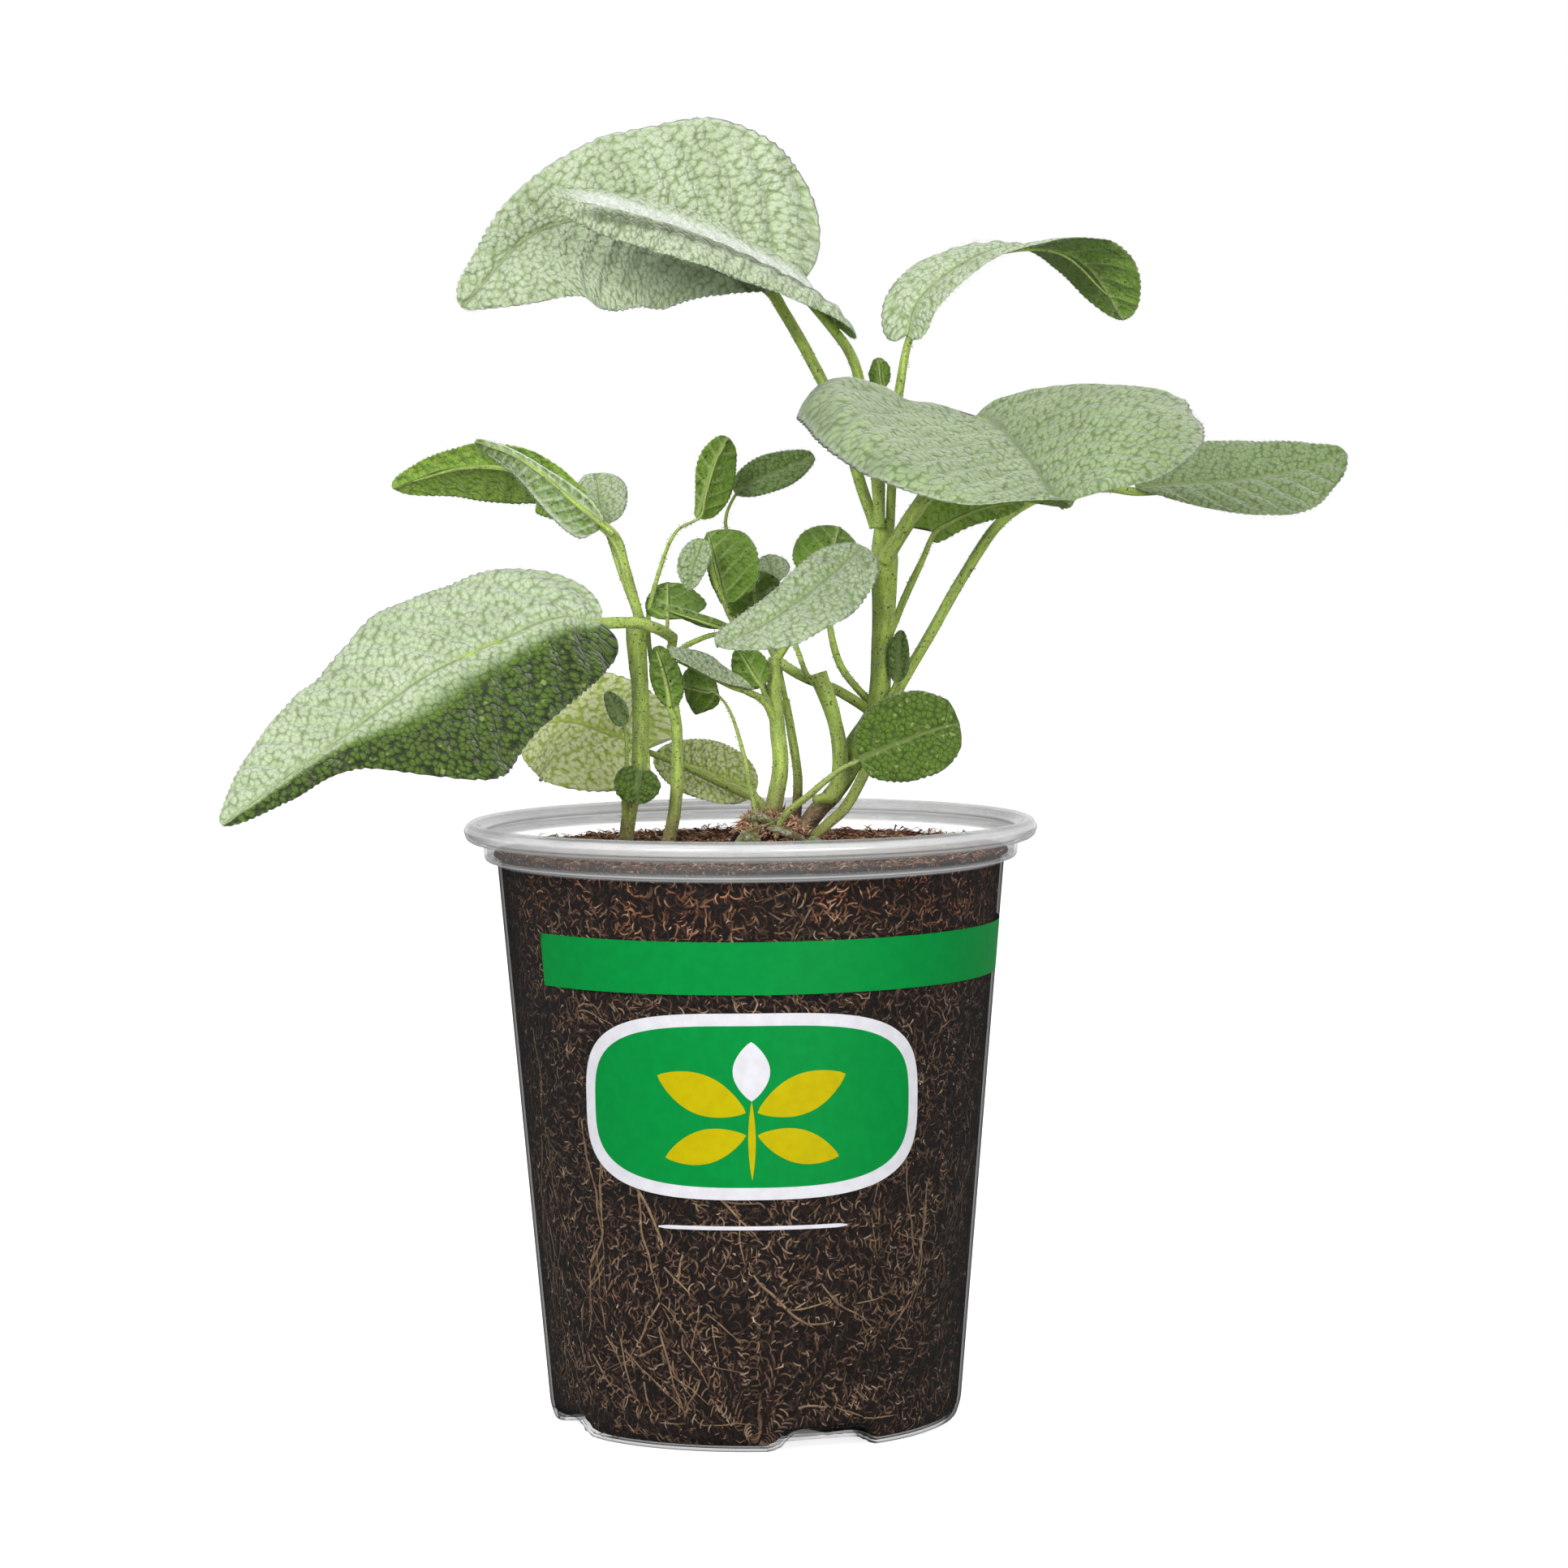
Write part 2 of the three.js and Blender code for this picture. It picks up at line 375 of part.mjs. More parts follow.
// Leaves: stalk points from the foot up, then points along the rib to the tip, the way the upper face looks
// at the base and at the tip, and half widths either side of the rib. Small leaves name the stem they join.
const leaves = {
  leaf_top_left: { size: 'large', thick: 1,
    stalk: [[23, 5, 161], [20.5, 6, 168.5], [17, 8, 180], [11.5, 7, 191.5], [7, 4, 199.5]],
    rib: [[5, 2, 204], [-2.5, 0, 209], [-12.5, -3, 213.5], [-25, -7, 214.5], [-38, -11, 211], [-50, -15, 201]],
    face: [[0.25, -0.9, 0.4], [0, -0.9, 0.35], [-0.1, -0.9, 0.3]],
    left: [3, 8, 14, 15.5, 14, 8, 3.5], right: [12, 21, 24, 20, 13, 8, 4], lift: [10, 8], curl: [-10, -10], lobe: [0, 8] },
  leaf_edge_on: { size: 'middle', thick: 0.9,
    stalk: [[23.7, 1.6, 161], [22.8, 3.5, 174], [21, 4.2, 184], [19, 1.5, 191.5]],
    rib: [[16.5, -4, 197], [12, -9, 203], [3, -14, 208.5], [-8, -20, 213.5], [-20.5, -28, 217.5], [-33.5, -37, 220]],
    face: [[0.1, -0.2, 1], [0.1, -0.2, 1], [0.1, -0.15, 1]], half: 11, lift: [-12, 6], lobe: [3, 3] },
  leaf_arching_right: { size: 'middle', thick: 0.8,
    stalk: [[25.6, 4.6, 161], [26.3, 4.4, 174], [27.5, 3.6, 186]],
    rib: [[29, 3, 195.5], [31, 4, 201.5], [37, 8, 207], [45.5, 14, 211], [56.5, 21, 211], [63.5, 25, 207], [69.5, 28, 198]],
    face: [[-0.55, -0.8, 0.1], [-0.5, -0.7, 0.5], [-0.2, -0.25, 1], [0.3, 0.5, 0.8], [0.5, 0.6, 0.6]],
    left: [5, 6.5, 6.5, 7, 8, 7.5, 4], right: [4, 5.5, 6, 7.5, 9, 9, 5], lift: [5, 5], lobe: [3, 2] },
  leaf_broad_front: { size: 'large', thick: 1.4,
    stalk: [[24.5, 2, 155], [29, -2, 162.5], [35, -2, 171], [38.5, 0, 177]],
    rib: [[41, -3, 181], [44.5, -20, 179.5], [48, -38, 174.5], [51, -54, 169], [53, -66, 165.5]],
    face: [[0, -0.25, 1], [0, -0.3, 1], [0, -0.2, 1]],
    left: [11, 21, 28, 31, 30, 24, 12], right: [15, 27, 33, 35, 32, 24, 13], lift: [17, 22], liftTip: [-2, -6], lobe: [10, 14] },
  leaf_far_right: { size: 'middle', thick: 1,
    stalk: [[3, 3, 92], [5.5, -1, 99.5], [8.5, -2, 103.5], [13, -3, 106.5], [18.5, 0, 110.5], [22, 8, 118], [26.5, 9, 130.5],
      [33, 11, 141.5], [39.5, 13, 152.5], [46.5, 15, 162], [56, 18, 167], [65, 21, 167.5]],
    rib: [[71, 24, 167.5], [83.5, 27, 168], [95.5, 30, 169], [105, 33, 171], [110.5, 35, 173.5]],
    face: [[0, -0.5, 0.85], [0, -0.6, 0.8], [0, -0.7, 0.7]],
    left: [4, 8, 11, 11, 9, 6, 3], right: [2, 6, 10, 13, 12, 7, 3], lift: [4, 4] },
  leaf_under_broad: { size: 'middle', thick: 0.7,
    stalk: [[25.5, 8, 141.5], [28.5, 10, 148.5], [31.5, 13, 154.5]],
    rib: [[34, 15, 158], [35.5, 18, 162], [38.5, 22, 165.5], [42.5, 27, 168]],
    face: [[-0.1, 0.9, 0.1], [-0.1, 0.8, 0.3], [-0.1, 0.7, 0.4]],
    left: [3, 8, 12, 13, 12, 8, 4], right: [4, 6, 6.5, 6, 5, 4, 2], lift: [4, 4], lobe: [0, 2] },
  leaf_left_big: { size: 'large', thick: 1,
    stalk: [[-13.5, -7, 142], [-16.5, -12, 144], [-20.5, -14, 145]],
    rib: [[-26, -16, 145.5], [-34, -20, 146.5], [-45.5, -27, 142], [-56.5, -34, 137], [-67.5, -41, 129], [-79, -48, 121],
      [-90, -55, 113]],
    face: [[0.05, -0.6, 0.8], [-0.2, -0.65, 0.8], [-0.4, -0.7, 0.6]],
    left: [8, 14, 18, 23, 7, 4, 2], right: [8, 15, 18.5, 17, 13, 9, 3.5], lift: [-18, 8], curl: [-22, -8], lobe: [8, 3] },
  leaf_arching_left: { size: 'middle', thick: 0.9,
    stalk: [[-19.5, -6, 145.5], [-22, -6, 154.5], [-23.5, -5, 159.5]],
    rib: [[-25.5, -4, 162.5], [-32, -2, 169], [-38.5, 2, 173.5], [-46.5, 8, 176], [-55.5, 14, 174], [-64.5, 18, 168.5]],
    face: [[0.2, 0.8, 0.5], [0.1, 0.8, 0.6], [-0.15, 0.85, 0.5]],
    left: [1.5, 2.5, 3, 2.5, 1.5, 1.2, 1], right: [4, 7, 8.5, 9.5, 8.5, 7, 4], lift: [4, 4] },
  leaf_round_left: { size: 'small', thick: 0.5,
    stalk: [[-20, -1.5, 145.5], [-23, 1, 153.5], [-25, 2, 159.5]],
    rib: [[-26, 3, 162], [-26.5, 6, 165], [-27, 9, 168.5], [-27.5, 12, 171]],
    face: [[0.1, -0.9, 0.45], [0.1, -0.8, 0.6]], left: [2, 3, 3.5, 4, 4, 3, 2], right: [2, 3.5, 4.5, 5, 5, 4, 2.5] },
  leaf_behind_left: { size: 'middle', thick: 0.8,
    stalk: [[4, 12, 101], [2, 11, 110.5], [-3.5, 13, 113.5], [-11, 15, 117]],
    rib: [[-18.5, 17, 120.5], [-26.5, 19, 123.5], [-33.5, 22, 125.5], [-42, 25, 124.5]],
    face: [[0, -0.85, 0.5], [0, -0.85, 0.5]],
    left: [8, 12, 15, 16, 15, 11.5, 7], right: [7, 10, 11.5, 12, 11, 8.5, 5], lift: [4, 4], lobe: [4, 5] },
  leaf_behind_right: { size: 'small', thick: 0.6,
    stalk: [[2, 18, 101], [1.5, 18, 108]],
    rib: [[1, 19, 112.5], [-5, 20, 115], [-11, 23, 117], [-17.5, 27, 119]],
    face: [[0, 0.8, 0.5], [0, 0.8, 0.5]], half: 6 },
  leaf_low_dark: { size: 'middle', thick: 0.6,
    stalk: [[4, -8, 101], [5.5, -8, 109], [11, -8, 114], [16, -8, 118]],
    rib: [[19.5, -8, 120], [25.5, -9, 122.5], [32, -10, 125], [37.5, -10, 126.5]],
    face: [[0.2, -0.85, 0.4], [0.2, -0.9, 0.3]], left: [4, 6.5, 8, 8.3, 7.8, 6, 4], right: [3.5, 5.5, 7, 7.8, 8, 6.5, 4] },
  leaf_low_mid: { size: 'small', thick: 0.45,
    stalk: [[1.5, -8, 101], [1, -7, 109.5], [0, -6, 115.5], [-1.5, -5, 122.5], [-3.5, -3, 128.5]],
    rib: [[-5.5, -1, 132], [-7.5, 0, 132], [-10, 1, 132.5], [-12, 3, 133]],
    face: [[0, 0.9, 0.3], [0, 0.9, 0.3]], left: [2, 3, 4, 4, 4, 3, 2], right: [2, 3, 4, 5, 5.2, 4.8, 3] },
  leaf_pale_front: { size: 'middle', thick: 0.8,
    stalk: [[4.5, -2, 137], [9, 0, 143.5], [15, 0, 151], [18, -2, 154]],
    rib: [[20.5, -5, 158], [15.5, -10, 154], [9, -15, 149], [2, -20, 144.5], [-5.5, -26, 141.5]],
    face: [[-0.25, -0.8, 0.5], [-0.25, -0.8, 0.5]], left: [4, 7.5, 9.5, 9.5, 8, 5, 2.5], right: [3, 5, 5.5, 5, 4.5, 3.5, 2] },
  upright: { size: 'small', thick: 0.45, joins: 'middle',
    stalk: [[-14, -6, 129.5], [-17, -4, 135.5], [-18, -2, 145], [-16, 0, 153.5], [-13, 0, 160.5]],
    rib: [[-9, 0, 163], [-7.5, 0, 168], [-6, 1, 173], [-3.5, 3, 177.5]],
    face: [[-0.3, 0.9, 0.2], [-0.3, 0.9, 0.2]], left: [2.5, 4, 5, 5.2, 5, 4, 2.5], right: [0.8, 1.2, 2, 2.8, 3, 2.3, 1.4] },
  pointing_right: { size: 'small', thick: 0.5, joins: 'thin',
    stalk: [[6.5, 6.5, 130], [4.5, 9, 139], [0.5, 12.5, 151.5], [-4, 10, 161]],
    rib: [[-2.5, 9, 167.5], [1.5, 10, 169.5], [6.5, 12, 171.5], [12, 14, 174]],
    face: [[0, -0.7, 0.6], [0, -0.8, 0.5]], half: 4.1 },
  green_right: { size: 'small', thick: 0.6, joins: 'centre',
    stalk: [[3.5, -2.5, 130.5], [0.5, 0, 138.5], [-3, 0, 144.5]],
    rib: [[-4, 0, 147.5], [-5, 0, 152], [-6, 1, 156], [-7, 3, 160.5]],
    face: [[0.3, 0.9, 0.1], [0.3, 0.9, 0.1]], left: [3, 6, 7.5, 8, 7.5, 6, 3], right: [1, 1.5, 2, 2, 2, 2, 1] },
  pale_left: { size: 'small', thick: 0.5, joins: 'centre',
    stalk: [[-3.5, -0.5, 146], [-6, -2.5, 152], [-7, -3.5, 157]],
    rib: [[-8, -4, 159.5], [-9, -5, 157], [-10, -6, 154.5], [-10.5, -6, 150.5]],
    face: [[-0.1, -0.95, 0.2], [-0.1, -0.95, 0.2]], half: 2.8 },
  mid_dark: { size: 'small', thick: 0.9, joins: 'trunk',
    stalk: [[21.5, 6, 128], [16, 5.5, 131.5], [10, 5, 134], [5.5, 4.5, 137], [3.5, 4.5, 140.5]],
    rib: [[2.5, 5, 144], [1.5, 6, 147], [1, 8, 150.5], [0.5, 10, 153]],
    face: [[0, 0.9, 0.3], [0, 0.9, 0.3]], half: 5.4 },
  small_pale: { size: 'small', thick: 0.5, joins: 'trunk',
    stalk: [[13.5, 0.5, 131], [10.5, 4, 134.5], [8.5, 9, 139.5], [6, 14, 147]],
    rib: [[5, 16, 151], [4.5, 18, 152.5], [4, 20, 154], [3, 22, 155.5]],
    face: [[0, -0.7, 0.7], [0, -0.7, 0.7]], half: 3.2 },
  dark_arc: { size: 'small', thick: 0.7, joins: 'trunk',
    stalk: [[22, 7, 129], [17, 9, 135], [15, 12, 141], [14.5, 15, 147]],
    rib: [[14.5, 16, 150], [15, 17, 153.5], [15.5, 19, 157], [16.5, 22, 160.5]],
    face: [[0, 0.9, 0.3], [0, 0.9, 0.3]], half: 7.2 },
  axil: { size: 'small', thick: 0.5, joins: 'trunk',
    stalk: [[24, 6, 129], [25.5, 4, 131]],
    rib: [[26.5, 4, 133], [27, 4, 136], [27, 4, 138.5], [27.5, 4, 142.5]],
    face: [[0.1, -0.9, 0.2], [0.1, -0.9, 0.2]], half: 2 },
  bud: { size: 'small', thick: 0.5, joins: 'trunk',
    stalk: [[24.2, 5.6, 160], [24.3, 7, 168.5], [24.5, 7.5, 177], [24.5, 7, 184.5]],
    rib: [[24.5, 7, 186], [24, 7, 188], [24, 7, 189.5], [23.5, 7, 191.5]],
    face: [[0, 0.9, 0.2], [0, 0.9, 0.2]], half: 2 },
  small_edge: { size: 'small', thick: 0.5, joins: 'middle',
    stalk: [[-13.5, -6, 139], [-10.5, -10, 141], [-7, -12, 142.5]],
    rib: [[-3, -13, 144], [-7, -15, 145.5], [-11.5, -16, 147], [-16, -17, 148.5]],
    face: [[0.1, 0.5, 1], [0.1, 0.5, 1]], left: [0.6, 0.8, 1, 1, 1, 0.8, 0.6], right: [2, 3.6, 4.4, 4, 3, 2, 1] },
  dark_left: { size: 'small', thick: 0.5, joins: 'middle',
    stalk: [[-13.5, -6, 140], [-14.5, -4, 142.5]],
    rib: [[-14.5, -3, 145], [-14.5, -2, 147], [-14.5, 0, 149], [-14.5, 2, 151.5]],
    face: [[0, 0.9, 0.3], [0, 0.9, 0.3]], left: [3, 5, 6.5, 7, 6, 4.5, 3], right: [2, 3.5, 4, 4, 3.5, 2.5, 1.5] },
  clasping: { size: 'small', thick: 0.6, joins: 'middle',
    stalk: [[-13, -6, 125.5], [-13.5, -7, 127.5]],
    rib: [[-14, -7, 129.5], [-14.5, -8, 133.5], [-15.5, -8, 137.5], [-16.5, -7, 140.5]],
    face: [[0.2, 0.9, 0.2], [0.2, 0.9, 0.2]], half: 3 },
  grey_tongue: { size: 'small', thick: 0.8, joins: 'centre',
    stalk: [[5, -3, 125], [3, -5, 130]],
    rib: [[0.5, -7, 133], [-3.5, -11, 134.5], [-8.5, -15, 137], [-13.5, -20, 139.5]],
    face: [[-0.1, -0.6, 0.75], [-0.1, -0.6, 0.75]], left: [1, 1.5, 1.8, 2, 2, 1.6, 1], right: [2.5, 4.5, 5.5, 5.5, 5, 3.8, 2] },
  dark_mid: { size: 'small', thick: 0.6, joins: 'centre',
    stalk: [[4.5, -3, 129], [3, -4, 131]],
    rib: [[2.5, -4.5, 133], [1, -4.5, 135], [-0.5, -4.5, 137.5], [-2, -4.5, 140]],
    face: [[0, 0.9, 0.3], [0, 0.9, 0.3]], half: 3.4 },
  heart: { size: 'small', thick: 0.5, joins: 'left',
    stalk: [[-20, -5, 116.5], [-19.5, -8, 119]],
    rib: [[-19.5, -10.5, 118.5], [-20, -11, 116.5], [-20, -11.5, 115], [-20, -11, 112.5]],
    face: [[0, -0.9, 0.3], [0, -0.9, 0.3]], half: 4.2, lobe: [1, 1] },
  pointed: { size: 'small', thick: 0.5, joins: 'left',
    stalk: [[-22, -4.5, 106], [-22.5, -7, 112], [-22, -8, 118], [-22, -8, 124]],
    rib: [[-22, -8, 126.5], [-23, -8.5, 128], [-24, -9, 130], [-25.5, -9, 132.5]],
    face: [[0.3, -0.85, 0.3], [0.3, -0.85, 0.3]], half: 2 },
};

const stemGroups = { trunk: ['trunk', 'stub'], centre: ['centre'], thin: ['thin'], middle: ['middle'], left: ['left'] };
const stemNames = { trunk: 'stem_main', centre: 'stem_centre', thin: 'stem_thin', middle: 'stem_middle', left: 'stem_left' };

function stemSolid(group, grow) {
  return join(stemGroups[group].map((name) => {
    const { points, radii } = stems[name];
    return tube(points, radii, name === 'trunk' ? 10 : 8, Math.round(points.length * 1.6), grow);
  }));
}

// Build order: stems with the small leaves that grow on them, then the leaves that stand on their own stalks
const plant = {};
Object.keys(stemGroups).forEach((group) => {
  const small = Object.values(leaves).filter((l) => l.joins === group).map((l) => new Leaf(l).solid());
  plant[stemNames[group]] = { solid: join([stemSolid(group, 0), ...small]), look: stemGreen };
});
const bareStems = join(Object.keys(stemGroups).map((group) => stemSolid(group, clearance)));
Object.entries(leaves).filter(([, l]) => !l.joins).forEach(([name, spec]) => {
  plant[name] = { solid: largestOf(new Leaf(spec).solid().subtract(bareStems)), look: spec.size === 'small' ? youngGreen : sageGreen };
});

// Plain holes in the mix for every stem and stalk that goes down into it; these stalks are leaves' own
const rooted = ['leaf_far_right', 'leaf_behind_left', 'leaf_behind_right', 'leaf_low_dark', 'leaf_low_mid'];
const holes = join([bareStems, ...rooted.map((name) => new Leaf(leaves[name]).stalk(clearance))]);

const group = new THREE.Group();
group.add(meshOf('pot', makePot(), { ...clearPlastic, transparent: true, opacity: 0.35 }));
group.add(meshOf('potting_mix', makeSoil(holes), darkMix));
Object.entries(plant).forEach(([name, { solid, look }]) => group.add(meshOf(name, solid, look)));

export default group;
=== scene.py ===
# Potted common sage in a thin clear nursery pot, laid out as an add-on.
# Measures in the tables below are in millimetres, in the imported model's frame.
import math
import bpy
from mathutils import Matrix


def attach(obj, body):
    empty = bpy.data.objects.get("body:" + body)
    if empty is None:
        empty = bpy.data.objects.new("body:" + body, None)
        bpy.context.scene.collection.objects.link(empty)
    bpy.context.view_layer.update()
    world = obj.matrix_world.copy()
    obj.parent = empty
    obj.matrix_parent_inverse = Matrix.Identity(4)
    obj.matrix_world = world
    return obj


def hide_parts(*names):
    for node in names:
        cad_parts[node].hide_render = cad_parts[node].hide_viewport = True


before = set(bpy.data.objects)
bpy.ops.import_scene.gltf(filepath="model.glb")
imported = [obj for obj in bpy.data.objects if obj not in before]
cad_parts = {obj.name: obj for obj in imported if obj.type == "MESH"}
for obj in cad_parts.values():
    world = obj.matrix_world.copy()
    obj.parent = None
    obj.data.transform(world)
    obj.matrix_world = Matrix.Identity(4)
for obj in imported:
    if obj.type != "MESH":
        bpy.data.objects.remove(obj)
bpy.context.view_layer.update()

from types import SimpleNamespace

import bmesh
import bpy
import numpy as np
from bpy.props import FloatProperty, FloatVectorProperty, IntProperty, PointerProperty
from mathutils import Matrix

bl_info = {
    "name": "Potted common sage",
    "version": (1, 0, 0),
    "blender": (4, 5, 0),
    "location": "3D View > Sidebar > Sage",
    "description": "Dresses the packed model of a sage plant in a clear pot",
    "category": "Object",
}

MM = 0.001

# Stems: points up the middle line, radii from the foot to the top, share of bark at the foot, and the solid
# of the model that the stem stands for
STEMS = {
    "main_stem": dict(
        node="stem_main", woody=0.8,
        radii=(1.7, 1.7, 1.65, 1.6, 1.6, 2.3, 2.0, 1.8, 1.9, 2.1, 2.4, 1.5),
        points=[(-2, 1, 92), (1, 2, 99.5), (6, 2, 103.3), (9.6, 2.5, 106.8), (12.6, 3, 110.6),
            (14.6, 3, 112.6), (16.6, 3.5, 115.4), (19.4, 5, 121.5), (23, 6, 128), (24, 6, 139),
            (24.5, 5, 150.5), (24.5, 4, 162.5)]),
    "cut_stub": dict(
        woody=0.1,
        radii=(1.4, 1.45, 1.35, 1.25, 1.45, 1.6),
        points=[(14.6, 2.4, 112), (16, 1.5, 115.5), (16.2, 0.5, 121), (15, 0, 127.5), (12.6, 0, 134.4),
            (12.4, 0, 135)]),
    "cut_petiole": dict(
        woody=0.2,
        radii=(0.9, 0.85, 0.8),
        points=[(14.6, 1.5, 112.2), (12.8, 0, 112.4), (11.6, -0.8, 112.3)]),
    "centre_stem": dict(
        node="stem_centre", woody=0.5,
        radii=(1.6, 1.6, 1.5, 1.4, 1.3, 1),
        points=[(0, -4, 92), (1.5, -4, 100), (3, -3.5, 106), (4.5, -3, 112.5), (5.5, -3, 119),
            (5, -3, 125.5), (4.5, -3, 132.5), (4.5, -2, 138)]),
    "thin_stem": dict(
        node="stem_thin", woody=0.9,
        radii=(0.9, 0.9, 0.8, 0.7),
        points=[(6, 7, 94), (7.5, 7.5, 102), (8.5, 7.5, 111.5), (8.5, 7, 117), (7.5, 6.5, 124),
            (6.5, 6.5, 130)]),
    "middle_stem": dict(
        node="stem_middle", woody=0.3,
        radii=(1.3, 1.2, 1.1, 1, 0.9, 0.8),
        points=[(-16.5, -6, 92), (-15, -6, 103.5), (-13.5, -6, 111), (-13, -6, 118), (-13, -6, 125),
            (-13.5, -6, 130), (-14, -6, 137), (-13.5, -6, 142)]),
    "left_stem": dict(
        node="stem_left", woody=0.3,
        radii=(1.2, 1.2, 1.3, 1.4, 1.5, 1.9),
        points=[(-23, -4, 92), (-22.5, -4, 103.5), (-21.5, -5, 111.5), (-20, -5, 117.5), (-19.5, -6, 125),
            (-19.5, -6, 132.5), (-20, -6, 140), (-20, -5, 145.5)]),
}

